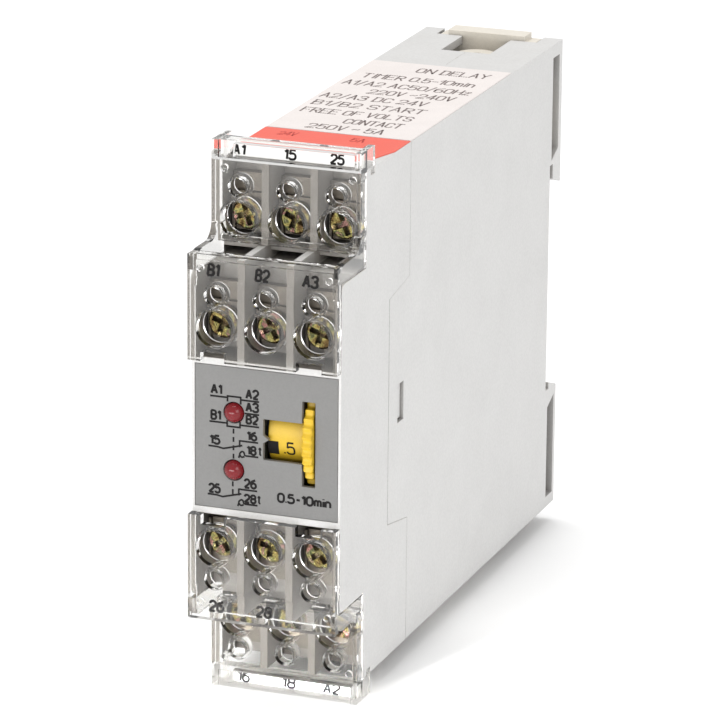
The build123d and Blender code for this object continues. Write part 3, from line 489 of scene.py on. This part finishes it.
def screw_tree():
    """Terminal screw that points up: rimmed head with a cross and a slot, thread below."""
    tree, given = shape_tree("Terminal screw", [
        ("Head radius", FLOAT, 2.3 * MM), ("Head height", FLOAT, SCREW_HEAD),
        ("Rim", FLOAT, 0.3 * MM),
        ("Shank radius", FLOAT, 1.7 * MM), ("Length", FLOAT, 8 * MM), ("Pitch", FLOAT, 0.6 * MM),
        ("Cross length", FLOAT, 3.4 * MM), ("Cross width", FLOAT, 0.85 * MM),
        ("Cross depth", FLOAT, 1.2 * MM), ("Slot width", FLOAT, 0.6 * MM), ("Turn", FLOAT, 0.0),
    ])
    side = maths(tree, "SUBTRACT", given["Head height"], given["Rim"])
    low = maths(tree, "SUBTRACT", maths(tree, "MULTIPLY", side, -0.5), given["Rim"])
    barrel = wire(tree, "GeometryNodeMeshCylinder", {
        "Vertices": 40, "Radius": given["Head radius"], "Depth": side}).outputs["Mesh"]
    barrel = moved(tree, barrel, Translation=vector(tree, z=low))
    top = maths(tree, "SUBTRACT", given["Head radius"], given["Rim"])
    rim = wire(tree, "GeometryNodeMeshCone", {
        "Vertices": 40, "Radius Top": top, "Radius Bottom": given["Head radius"],
        "Depth": given["Rim"]}).outputs["Mesh"]
    rim = moved(tree, rim, Translation=vector(tree, z=maths(tree, "MULTIPLY", given["Rim"], -1.0)))
    head = wire(tree, "GeometryNodeMeshBoolean", operation="UNION", solver="EXACT")
    for part in (barrel, rim):
        tree.links.new(part, head.inputs[1])
    deep = maths(tree, "MULTIPLY", given["Cross depth"], 2.0)
    across = maths(tree, "MULTIPLY", given["Head radius"], 2.4)
    bars = []
    for size in (vector(tree, given["Cross length"], given["Cross width"], deep),
                 vector(tree, given["Cross width"], given["Cross length"], deep),
                 vector(tree, across, given["Slot width"], given["Cross depth"])):
        bars.append(wire(tree, "GeometryNodeMeshCube", {"Size": size}).outputs["Mesh"])
    cut = wire(tree, "GeometryNodeMeshBoolean", {0: head.outputs[0]},
               operation="DIFFERENCE", solver="EXACT")
    for bar in bars:
        tree.links.new(bar, cut.inputs[1])
    core = wire(tree, "GeometryNodeMeshCylinder", {
        "Vertices": 24, "Radius": maths(tree, "MULTIPLY", given["Shank radius"], THREAD_CORE),
        "Depth": given["Length"]}).outputs["Mesh"]
    middle = maths(tree, "MULTIPLY", given["Length"], -0.5)
    core_z = maths(tree, "SUBTRACT", middle, maths(tree, "MULTIPLY", given["Head height"], 0.9))
    core = moved(tree, core, Translation=vector(tree, z=core_z))
    threaded = maths(tree, "MULTIPLY", given["Length"], THREADED)
    turns = maths(tree, "DIVIDE", threaded, given["Pitch"])
    height = maths(tree, "MULTIPLY", turns, given["Pitch"])
    path_radius = maths(tree, "MULTIPLY", given["Shank radius"], THREAD_PATH)
    helix = wire(tree, "GeometryNodeCurveSpiral", {
        "Resolution": 18, "Rotations": turns, "Start Radius": path_radius,
        "End Radius": path_radius, "Height": height}).outputs[0]
    ridge = wire(tree, "GeometryNodeCurvePrimitiveCircle", {
        "Resolution": 4, "Radius": maths(tree, "MULTIPLY", given["Shank radius"], THREAD_RIDGE),
    }).outputs[0]
    thread = wire(tree, "GeometryNodeCurveToMesh", {
        "Curve": helix, "Profile Curve": ridge, "Fill Caps": True}).outputs[0]
    drop = maths(tree, "MULTIPLY", maths(tree, "ADD", height, given["Head height"]), -1.0)
    thread = moved(tree, thread, Translation=vector(tree, z=drop))
    whole = joined(tree, cut.outputs[0], core, thread)
    whole = moved(tree, whole, Rotation=vector(tree, z=given["Turn"]))
    return end_tree(tree, whole, given)


def add_screws():
    tree = screw_tree()
    upright = Euler((math.radians(90), 0, 0)).to_matrix().to_4x4()
    for index, name in enumerate(SCREWS):
        low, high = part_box("terminal_screw_" + name)
        turn = math.radians(18 + index * 47 % 90)   # every screw was left at another angle
        mesh = grown(tree, FINISHES["chromated_steel"], Head_radius=(high.x - low.x) / 2,
                     Head_height=SCREW_HEAD, Length=high.y - low.y - SCREW_HEAD, Turn=turn)
        centre = Vector(((low.x + high.x) / 2, low.y, (low.z + high.z) / 2))
        mesh.transform(Matrix.Translation(centre) @ upright)
        mesh.set_sharp_from_angle(angle=math.radians(32))
        finished("screw_" + name, mesh, "chromated_steel", "screw_" + name,
                 ("terminal_screw_" + name,))


def curve_of(tree, value, points):
    made = wire(tree, "ShaderNodeFloatCurve", {"Value": value})
    line = made.mapping.curves[0]
    for _ in points[2:]:
        line.points.new(0.5, 0.5)
    for point, (where, height) in zip(line.points, points):
        point.location = (where, height)
        point.handle_type = "VECTOR"
    made.mapping.update()
    return made.outputs[0]


# The wheel's section, from the bore out over one face, across the rim and back over the other.
WHEEL_REACH = (     # share of the way along the section, share of the radius
    (0.0, 0.163), (0.3, 0.88), (0.325, 0.9), (0.35, 0.975), (0.4, 1.0), (0.5, 1.0),
    (0.55, 0.975), (0.575, 0.9), (0.6, 0.88), (0.9, 0.163), (1.0, 0.163),
)
WHEEL_SIDE = (      # share of the way along the section, share of the width
    (0.0, 0.0), (0.3, 0.0), (0.325, 0.02), (0.35, 0.06), (0.4, 0.2), (0.5, 0.8),
    (0.55, 0.94), (0.575, 0.98), (0.6, 1.0), (0.9, 1.0), (1.0, 0.0),
)


def wheel_tree():
    """Thumb wheel round the X axis: a ring of soft teeth with rolled-off edges."""
    tree, given = shape_tree("Thumb wheel", [
        ("Radius", FLOAT, 8.6 * MM), ("Width", FLOAT, 1.6 * MM),
        ("Teeth", FLOAT, 40.0), ("Tooth depth", FLOAT, 0.42 * MM),
    ])
    sheet = wire(tree, "GeometryNodeMeshGrid", {
        "Size X": 1.0, "Size Y": 1.0, "Vertices X": 481, "Vertices Y": 41}).outputs["Mesh"]
    where = wire(tree, "GeometryNodeInputPosition").outputs[0]
    split = wire(tree, "ShaderNodeSeparateXYZ", {0: where}).outputs
    round_ = maths(tree, "MULTIPLY", maths(tree, "ADD", split["X"], 0.5), 2 * math.pi)
    along = maths(tree, "ADD", split["Y"], 0.5)
    reach = curve_of(tree, along, WHEEL_REACH)
    side = curve_of(tree, along, WHEEL_SIDE)
    tooth = maths(tree, "COSINE", maths(tree, "MULTIPLY", round_, given["Teeth"]))
    bowl = maths(tree, "MULTIPLY", maths(tree, "SUBTRACT", 1.0, tooth), 0.5)
    hollow = maths(tree, "POWER", bowl, 0.62)
    limits = {"Value": reach, "From Min": 0.88, "From Max": 0.98}
    rim = wire(tree, "ShaderNodeMapRange", limits).outputs[0]
    dip = maths(tree, "MULTIPLY", maths(tree, "MULTIPLY", hollow, rim), given["Tooth depth"])
    radius = maths(tree, "SUBTRACT", maths(tree, "MULTIPLY", reach, given["Radius"]), dip)
    x = maths(tree, "MULTIPLY", maths(tree, "SUBTRACT", side, 0.5), given["Width"])
    y = maths(tree, "MULTIPLY", maths(tree, "COSINE", round_), radius)
    z = maths(tree, "MULTIPLY", maths(tree, "SINE", round_), radius)
    sockets = {0: sheet, "Position": vector(tree, x, y, z)}
    bent = wire(tree, "GeometryNodeSetPosition", sockets).outputs[0]
    ring = wire(tree, "GeometryNodeMergeByDistance", {0: bent, "Distance": 0.001 * MM}).outputs[0]
    return end_tree(tree, ring, given)


def add_wheel():
    low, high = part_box("setting_wheel")
    mesh = grown(wheel_tree(), FINISHES["yellow_plastic"],
                 Radius=(high.z - low.z) / 2, Width=high.x - low.x)
    mesh.transform(Matrix.Translation((low + high) / 2))
    closed(mesh)
    smooth(mesh, 40)
    finished("thumb_wheel", mesh, "yellow_plastic", "setting_wheel", ("setting_wheel",))


def spring_tree():
    """Open coil spring along Z, from 0 up."""
    tree, given = shape_tree("Coil spring", [
        ("Height", FLOAT, 9 * MM), ("Coil radius", FLOAT, 1.4 * MM),
        ("Wire radius", FLOAT, SPRING_WIRE),
        ("Turns", FLOAT, 6.0)])
    ends = maths(tree, "MULTIPLY", given["Wire radius"], 2.1)
    rise = maths(tree, "SUBTRACT", given["Height"], ends)
    helix = wire(tree, "GeometryNodeCurveSpiral", {
        "Resolution": 28, "Rotations": given["Turns"], "Start Radius": given["Coil radius"],
        "End Radius": given["Coil radius"], "Height": rise}).outputs[0]
    section = wire(tree, "GeometryNodeCurvePrimitiveCircle", {
        "Resolution": 10, "Radius": given["Wire radius"]}).outputs[0]
    coil = wire(tree, "GeometryNodeCurveToMesh", {
        "Curve": helix, "Profile Curve": section, "Fill Caps": True}).outputs[0]
    lifted = vector(tree, z=maths(tree, "MULTIPLY", given["Wire radius"], 1.05))
    return end_tree(tree, moved(tree, coil, Translation=lifted), given)


def add_springs():
    """Two springs beside the rail lock's boss."""
    low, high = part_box("slider_springs")
    height = high.z - low.z
    outer = (high.y - low.y) / 2
    coil = grown(spring_tree(), FINISHES["spring_steel"], Height=height,
                 Coil_radius=outer - SPRING_WIRE, Wire_radius=SPRING_WIRE)
    pair = bmesh.new()
    for x in (low.x + outer, high.x - outer):
        copy = coil.copy()
        copy.transform(Matrix.Translation((x, (low.y + high.y) / 2, low.z)))
        pair.from_mesh(copy)
    mesh = into_mesh(pair, "lock_springs")
    smooth(mesh)
    springs = finished("lock_springs", mesh, "spring_steel", replaced=("slider_springs",))
    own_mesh(springs)


add_screws()
add_wheel()
add_springs()


# ---------------------------------------------------------------- print

# Each sign is drawn with a pen: strokes on a grid 4 wide and 6 high, corners rounded by the tree.
SIGNS = {
    "0": "2,0 4,0 4,6 0,6 0,0 2,0", "1": "0,4.5 1.7,6|1.7,6.1 1.7,0",
    "2": "0.1,4.4 0.1,6 4,6 4,3.4 0,0.1|0,0 4,0",
    "3": "0.1,4.7 0.1,6 3.8,6 3.8,3.2 1.5,3.2|1.5,3.2 4,3.2 4,0 0,0 0,1.3",
    "4": "3,0 3,6|3,6 0,1.6|0,1.6 4,1.6",
    "5": "3.7,6 0.4,6|0.4,6.1 0.2,3.1|0.2,3.2 0.8,3.9 4,3.9 4,0 0,0 0,1.2",
    "6": "3.5,6 0,4.6 0,0 4,0 4,3.6 0,3.6 0,1.8",
    "8": "2,3.2 3.8,3.2 3.8,6 0.2,6 0.2,3.2 2,3.2|2,0 4,0 4,3.2 0,3.2 0,0 2,0",
    "A": "0,0 2,6.1|2,6.1 4,0|0.7,2 3.3,2",
    "B": "0.2,0 0.2,6|0,6 3.8,6 3.8,3.2 0,3.2|0,3.2 4,3.2 4,0 0,0",
    "C": "4,4.6 4,6 0,6 0,0 4,0 4,1.4", "D": "0.2,0 0.2,6|0,6 4,6 4,0 0,0",
    "E": "4,6 0,6|0,6.1 0,-0.1|0,0 4,0|0,3.1 3.3,3.1", "F": "4,6 0,6|0,6.1 0,0|0,3.1 3.3,3.1",
    "H": "0,0 0,6|4,0 4,6|0,3.1 4,3.1", "I": "1,0 1,6", "L": "0,6 0,0|0,0 4,0",
    "M": "0,0 0,6|0,6 2,2.4 4,6|4,6 4,0", "N": "0,0 0,6|0,6 4,0|4,0 4,6",
    "O": "2,0 4,0 4,6 0,6 0,0 2,0", "R": "0.2,0 0.2,6|0,6 4,6 4,2.9 0,2.9|2,2.9 4,0",
    "S": "4,4.7 4,6 0,6 0,3.1 4,3.1 4,0 0,0 0,1.3", "T": "0,6 4,6|2,6 2,0",
    "V": "0,6 2,0|2,0 4,6", "W": "0,6 1,0|1,0 2,4|2,4 3,0|3,0 4,6",
    "Y": "0,6 2,3|4,6 2,3|2,3 2,0", "i": "0.3,0 0.3,4|0.3,5.3 0.3,5.9",
    "m": "0,0 0,4.1|0,2.6 0,4 2.1,4 2.1,0|2.1,2.6 2.1,4 4.2,4 4.2,0",
    "n": "0,0 0,4.1|0,2.6 0,4 3.2,4 3.2,0", "z": "0,4 3,4|3,4 0,0|0,0 3,0", ".": "0,0 0,0.7",
    "-": "0.2,2.8 2.6,2.8", "/": "0,-0.5 2.6,6.4", "~": "0,2.6 0.9,3.7 2.3,2.5 3.2,3.6",
}
SIGN_HEIGHT = 6
LETTER_GAP = 1.5
WORD_GAP = 2.6


def written(text, x0, x1, z0, z1, stroke, slant=0.0):
    """Strokes of a line of type, fitted into a box with half a stroke to spare."""
    lines, start = [], 0.0
    for sign in text:
        if sign == " ":
            start += WORD_GAP
            continue
        strokes = [[tuple(map(float, point.split(","))) for point in line.split()]
                   for line in SIGNS[sign].split("|")]
        lines += [[(start + x, z) for x, z in line] for line in strokes]
        start += max(x for line in strokes for x, _ in line) + LETTER_GAP
    across = [x for line in lines for x, _ in line]
    low, wide, half = min(across), max(across) - min(across), stroke / 2
    scale_x, scale_z = (x1 - x0 - stroke) / wide, (z1 - z0 - stroke) / SIGN_HEIGHT

    def fitted(x, z):
        return x0 + half + (x - low) * scale_x + z * slant * scale_z, z0 + half + z * scale_z

    return [[fitted(x, z) for x, z in line] for line in lines]


def pen_lines(tree, given):
    lines = wire(tree, "GeometryNodeMeshToCurve", {0: given["Lines"]}).outputs[0]
    sockets = {"Curve": lines, "Radius": given["Rounding"], "Limit Radius": True, "Count": 5}
    return wire(tree, "GeometryNodeFilletCurve", sockets, mode="POLY").outputs[0]


def stroke_tree():
    """Printed strokes of one width along given lines."""
    tree, given = shape_tree("Printed strokes", [("Stroke", FLOAT, 0.2), ("Rounding", FLOAT, 0.4)])
    pen = wire(tree, "GeometryNodeCurvePrimitiveCircle", {
        "Resolution": 8, "Radius": maths(tree, "MULTIPLY", given["Stroke"], 0.5)}).outputs[0]
    strokes = wire(tree, "GeometryNodeCurveToMesh", {
        "Curve": pen_lines(tree, given), "Profile Curve": pen, "Fill Caps": True}).outputs[0]
    return end_tree(tree, strokes, given)


def dotted_tree():
    """Type made of separate printed dots, as a needle printer leaves it."""
    tree, given = shape_tree("Dotted type", [
        ("Spacing", FLOAT, 0.3), ("Stroke", FLOAT, 0.24), ("Rounding", FLOAT, 0.4)])
    spots = wire(tree, "GeometryNodeCurveToPoints", {
        "Curve": pen_lines(tree, given), "Length": given["Spacing"]}, mode="LENGTH").outputs[0]
    dot = wire(tree, "GeometryNodeMeshCylinder", {
        "Vertices": 7, "Radius": maths(tree, "MULTIPLY", given["Stroke"], 0.5),
        "Depth": given["Stroke"]}).outputs["Mesh"]
    dots = wire(tree, "GeometryNodeInstanceOnPoints", {"Points": spots, "Instance": dot}).outputs[0]
    return end_tree(tree, dots, given)


STROKES, DOTS = stroke_tree(), dotted_tree()


def drawn(tree, lines, stroke, rounding=0.4):
    """Flat print along polylines: 0 to 1 thick, millimetres across and up."""
    start = bpy.data.meshes.new("lines")
    corners, edges = [], []
    for line in lines:
        looped = line[0] == line[-1]
        points = line[:-1] if looped else line
        first = len(corners)
        corners += [(x, z, 0) for x, z in points]
        edges += [(first + n, first + n + 1) for n in range(len(points) - 1)]
        if looped:
            edges.append((first + len(points) - 1, first))
    start.from_pydata(corners, edges, [])
    mesh = grown(tree, BLACK_INK, start, Stroke=stroke, Rounding=rounding)
    mesh.transform(Matrix.Translation((0, 0, 0.5)) @ Matrix.Diagonal((1, 1, 1 / stroke, 1)))
    return mesh


def ink(name, parts, place, slot, material, body="case"):
    """One printed piece from flat meshes; place turns (across, up, proud) into the frame."""
    shape = bmesh.new()
    for part in parts:
        shape.from_mesh(part)
    for corner in shape.verts:
        corner.co = place(*corner.co)
    bmesh.ops.recalc_face_normals(shape, faces=shape.faces)
    return finished(name, into_mesh(shape, name), slot, body, material=material)


def raised(proud, sunk=0.2):
    """Height of print above its face; the back of it lies a little inside the face."""
    return (proud * 1.2 - sunk) * INK_HEIGHT


def on_front(face, sunk=0.2):
    """Print that lies on a plane facing forward."""
    return lambda x, z, proud: Vector((x * MM, face - raised(proud, sunk), z * MM))


def on_top(top):
    """Print that lies on a plane facing up."""
    return lambda x, y, proud: Vector((x * MM, y * MM, top + raised(proud)))


def typeset(rows, stroke, slant=0.0):
    """Strokes of several texts, each given with its left, right, bottom and top edge."""
    return [line for text, *box in rows for line in written(text, *box, stroke, slant)]


def dashes(x, top, bottom, length=0.75, gap=0.5):
    """Upright dashed line that starts and ends with a dash."""
    count = max(1, round((top - bottom + gap) / (length + gap)))
    step = (top - bottom + gap) / count
    return [((x, top - n * step), (x, top - n * step - step + gap)) for n in range(count)]


SLANT = 0.12        # of the type on the marker strips and covers
PLATE_TYPE = (
    ("A1", -8.45, -6.63, 6.25, 7.85), ("A2", -3.16, -1.05, 6.05, 7.65),
    ("A3", -3.16, -1.05, 4.15, 5.72), ("B2", -3.15, -1.13, 2.35, 3.88),
    ("B1", -8.5, -6.8, 2.42, 4.02), ("15", -8.62, -6.9, -1.22, 0.3),
    ("16", -2.98, -1.3, -0.05, 1.45), ("18", -2.98, -1.4, -2.2, -0.7),
    ("25", -8.8, -6.85, -8.48, -6.93), ("26", -3.39, -1.36, -7.2, -5.63),
    ("28", -3.39, -1.4, -9.4, -7.92), ("0.5-10min", 1.68, 9.9, -8.68, -7.12),
)


def contact_symbol(shift_x, shift_z):
    """Changeover contact with its timing mark, as strokes."""
    lines = (
        ((-8.76, -1.44), (-7.4, -1.46), (-6.46, -1.62), (-3.6, -0.86)),
        ((-1.2, -0.2), (-4.0, -0.2)), ((-4.0, -0.1), (-4.0, -1.15)),
        ((-1.15, -2.33), (-3.15, -2.33)),
        ((-3.25, -2.0), (-3.55, -1.62), (-4.05, -2.1), (-3.75, -2.65), (-3.25, -2.45)),
        ((-3.95, -2.15), (-4.15, -2.75)), ((-3.35, -1.9), (-3.2, -2.35)),
        ((-0.92, -0.85), (-0.92, -1.95)), ((-1.15, -1.1), (-0.7, -1.1)),
        ((-0.92, -1.95), (-0.7, -1.95)),
    )
    return [[(x + shift_x, z + shift_z) for x, z in line] for line in lines]


def add_plate_print():
    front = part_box("front_plate")[0].y
    type_stroke, line_stroke = 0.34, 0.27
    type_lines = typeset(PLATE_TYPE, type_stroke)
    lines = [
        ((-8.5, 6.0), (-5.85, 6.0)), ((-3.85, 5.86), (-1.05, 5.86)), ((-3.25, 3.94), (-1.05, 3.94)),
        ((-3.9, 2.12), (-1.05, 2.12)), ((-8.6, 2.2), (-5.9, 2.2)),
        ((-5.85, 5.4), (-5.85, 6.3)), ((-5.95, 6.22), (-3.75, 6.22)), ((-3.85, 6.3), (-3.85, 5.2)),
        ((-5.9, 2.6), (-5.9, 1.68)), ((-6.0, 1.76), (-3.85, 1.76)), ((-3.95, 1.68), (-3.95, 2.6)),
    ]
    lines += contact_symbol(0.0, 0.0) + contact_symbol(-0.12, -7.2)
    lines += dashes(-4.94, 1.5, -2.95) + dashes(-5.04, -6.35, -8.25, 0.6, 0.4)
    parts = (drawn(STROKES, type_lines, type_stroke), drawn(STROKES, lines, line_stroke, 0.25))
    ink("plate_print", parts, on_front(front), "plate_plastic", BLACK_INK)


def add_marker_print():
    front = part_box("marker_strips")[0].y
    upper, lower, stroke = (38.95, 40.65), (-40.0, -38.2), 0.35
    rows = (
        ("A1", -8.75, -6.7, *upper), ("15", -1.0, 1.0, *upper), ("25", 5.95, 8.2, *upper),
        ("16", -7.95, -5.85, *lower), ("18", -1.0, 1.25, *lower), ("A2", 5.45, 8.1, *lower),
    )
    lines = drawn(STROKES, typeset(rows, stroke, SLANT), stroke)
    ink("marker_print", [lines], on_front(front), "marker_plastic", BLACK_INK)


def add_cover_print():
    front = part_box("upper_terminal_cover")[0].y
    rows = (
        ("B1", -8.4, -6.4, 23.95, 25.95), ("B2", -1.2, 1.1, 23.9, 25.9),
        ("A3", 5.9, 8.4, 23.8, 25.8), ("26", -8.15, -5.7, -25.75, -23.85),
        ("28", -0.95, 1.6, -25.7, -23.8),
    )
    stroke = 0.4
    lines = drawn(STROKES, typeset(rows, stroke, SLANT), stroke)
    clear_of_it = -0.1      # ink that touched the clear cover would show black inside it
    ink("cover_print", [lines], on_front(front, clear_of_it), "clear_plastic", BLACK_INK)


def add_drum_print():
    """Scale round the drum; the values come into the window as the wheel turns."""
    low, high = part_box("scale_drum")
    radius = (high.z - low.z) / 2 / MM
    middle = (low + high) / 2

    def wrapped(x, z, proud):
        angle = z / radius
        reach = radius * MM + raised(proud)
        across, up = reach * math.cos(angle), reach * math.sin(angle)
        return Vector((x * MM, middle.y - across, middle.z + up))

    scale = ((".5", 0), ("2", 54), ("4", 108), ("6", 162), ("8", 216), ("10", 270))
    type_right, type_stroke = 3.9, 0.28
    block_left, block_right, block_rows, block_stroke = low.x / MM + 0.02, 1.42, 8, 0.3
    lines, blocks = [], []
    for text, degrees in scale:
        up = math.radians(degrees) * radius
        width = 0.98 if len(text) == 1 else 1.75
        lines += written(text, type_right - width, type_right, up - 2.35, up - 0.3, type_stroke)
        top, bottom = up - 0.42, up - 2.48
        for n in range(block_rows):
            z = bottom + (n + 0.5) * (top - bottom) / block_rows
            blocks.append(((block_left, z), (block_right, z)))
    parts = (drawn(STROKES, lines, type_stroke), drawn(STROKES, blocks, block_stroke))
    ink("drum_scale", parts, wrapped, "yellow_plastic", BLACK_INK, "setting_wheel")


def add_label_print():
    """Ratings as needle-printed lines, read from the front."""
    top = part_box("rating_label")[1].z
    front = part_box("front_plate")[0].y / MM
    rows = (    # text, left, right and how far behind the plate it stands
        ("250V ~ 5A", -5.8, 6.0, 29.5), ("CONTACT", -1.7, 7.2, 33.8),
        ("FREE OF VOLTS", -10.0, 7.2, 38.3), ("B1/B2 START", -10.1, 7.4, 43.0),
        ("A2/A3 DC 24V", -10.5, 6.1, 47.6), ("220V ~240V", -4.7, 8.8, 52.0),
        ("A1/A2 AC50/60Hz", -10.3, 9.8, 56.5), ("TIMER 0.5-10min", -9.1, 8.8, 61.4),
        ("ON DELAY", -2.5, 9.0, 67.2),
    )
    type_height, type_room, rounding = 2.75, 0.24, 0.5
    placed = [(text, x0, x1, front + depth, front + depth + type_height)
              for text, x0, x1, depth in rows]
    lines = typeset(placed, type_room)
    dots = drawn(DOTS, lines, 0.34, rounding)
    ink("label_print", [dots], on_top(top), "label_paper", GREY_INK)
    band = (front + 24.2, front + 26.2)
    faint = typeset((("24V", -8.0, -5.2, *band), ("5A", 3.0, 5.2, *band)), type_room)
    ink("band_print", [drawn(DOTS, faint, 0.3, rounding)], on_top(top), "band_paper", RED_INK)


def add_mould_line():
    """Fine raised line where the halves of the mould met, on top of the rear case."""
    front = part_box("front_plate")[0].y / MM
    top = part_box("rear_case")[1].z
    line = drawn(STROKES, [((0.1, front + 74.4), (0.1, front + 83.1))], 0.09)
    ink("mould_line", [line], on_top(top), "case_plastic", FINISHES["case_plastic"])


add_plate_print()
add_marker_print()
add_cover_print()
add_drum_print()
add_label_print()
add_mould_line()


# ---------------------------------------------------------------- lamps

def turned(name, profile, sides=48):
    """Closed shape turned round the Y axis from (radius, y) points; both ends are on the axis."""
    shape = bmesh.new()
    rings = []
    for radius, y in profile:
        if radius == 0:
            rings.append([shape.verts.new((0, y, 0))])
            continue
        angles = [2 * math.pi * n / sides for n in range(sides)]
        places = [(radius * math.cos(a), y, radius * math.sin(a)) for a in angles]
        rings.append([shape.verts.new(place) for place in places])
    for first, second in zip(rings, rings[1:]):
        for n in range(sides):
            m = (n + 1) % sides
            corners = [first[n % len(first)], first[m % len(first)],
                       second[m % len(second)], second[n % len(second)]]
            shape.faces.new(list(dict.fromkeys(corners)))
    bmesh.ops.recalc_face_normals(shape, faces=shape.faces)
    mesh = into_mesh(shape, name)
    smooth(mesh, 40)
    return mesh


def add_lamps():
    """Domed lamps with a foot ring; each has its two leads behind it."""
    low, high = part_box("indicator_lamps")
    foot_radius, foot_height = 1.8 * MM, 0.9 * MM
    radius = 1.45 * MM
    body_end = 6.65 * MM
    x = low.x + foot_radius
    front = low.y
    heights = (low.z + foot_radius, high.z - foot_radius)
    angles = [math.radians(degrees) for degrees in range(0, 91, 9)]
    dome = [(radius * math.sin(a), radius * (1 - math.cos(a))) for a in angles]
    foot = body_end - foot_height
    profile = dome + [(radius, foot), (foot_radius, foot), (foot_radius, body_end), (0, body_end)]
    shape = bmesh.new()
    for z in heights:
        lamp = turned("lamp", profile)
        lamp.transform(Matrix.Translation((x, front, z)))
        shape.from_mesh(lamp)
    domes = into_mesh(shape, "lamp_domes")
    finished("lamp_domes", domes, "lamp_red", replaced=("indicator_lamps",))
    leads = bmesh.new()
    reach = (high.x - x) / MM
    lead, spacing = 0.4, 0.6 * MM
    runs = (    # size and middle of each bar, in millimetres from the back of the lamp
        ((lead, 2.5, lead), (0, 1.25, 0)), ((reach, lead, lead), (reach / 2, 2.3, 0)),
    )
    for z in heights:
        for offset in (-spacing, spacing):
            start = Vector((x, front + body_end, z + offset))
            for size, shift in runs:
                place = Matrix.Translation(start + Vector(shift) * MM)
                place @= Matrix.Diagonal((*[side * MM for side in size], 1))
                bmesh.ops.create_cube(leads, size=1.0, matrix=place)
    finished("lamp_leads", into_mesh(leads, "lamp_leads"), "plated_brass")


add_lamps()


# ---------------------------------------------------------------- stage, light and camera

def add_stage():
    """White floor under the part."""
    shape = bmesh.new()
    bmesh.ops.create_grid(shape, x_segments=1, y_segments=1, size=6.0)
    mesh = into_mesh(shape, "floor")
    mesh.transform(Matrix.Translation((0, 0, cad_box[0].z)))
    mesh.materials.append(moulded("Studio floor", (0.97, 0.97, 0.97), 0.9, 60.0, 0.02, 0.01))
    link("floor", mesh)


def add_light(name, place, size, power, target=(0, -0.045, 0), spread=180):
    """Area light that faces the target; watts, and degrees of spread."""
    lamp = bpy.data.lights.new(name, "AREA")
    lamp.shape = "RECTANGLE"
    lamp.size, lamp.size_y = size
    lamp.energy = power
    lamp.spread = math.radians(spread)
    holder = link(name, lamp)
    holder.location = place
    holder.rotation_euler = (Vector(target) - Vector(place)).to_track_quat("-Z", "Y").to_euler()


def add_lighting():
    world = bpy.data.worlds.new("Studio")
    world.use_nodes = True
    sky = world.node_tree.nodes["Background"].inputs
    sky["Color"].default_value = (1, 1, 1, 1)
    sky["Strength"].default_value = 0.78
    bpy.context.scene.world = world
    add_light("key", (0.55, -0.5, 0.3), (0.4, 0.4), 1.4)
    add_light("low", (-0.15, -0.7, 0.02), (0.7, 0.1), 1.9)
    add_light("lower front", (-0.08, -0.36, -0.02), (0.04, 0.02), 0.014,
              target=(0.0, -0.09, -0.036), spread=7)
    add_light("top", (-0.15, 0.1, 1.0), (0.6, 0.6), 4.8)


def add_camera():
    camera = bpy.data.cameras.new("camera")
    camera.lens = 244.5
    camera.sensor_width = 36.0
    camera.clip_start = 0.05
    camera.clip_end = 30.0
    holder = link("camera", camera)
    holder.location = (0.241111, -0.70701, 0.213213)
    holder.rotation_euler = [math.radians(angle) for angle in (73.0438, -0.4897, 20.396)]
    bpy.context.scene.camera = holder


add_stage()
add_lighting()
add_camera()
bpy.context.scene.view_settings.view_transform = "Standard"
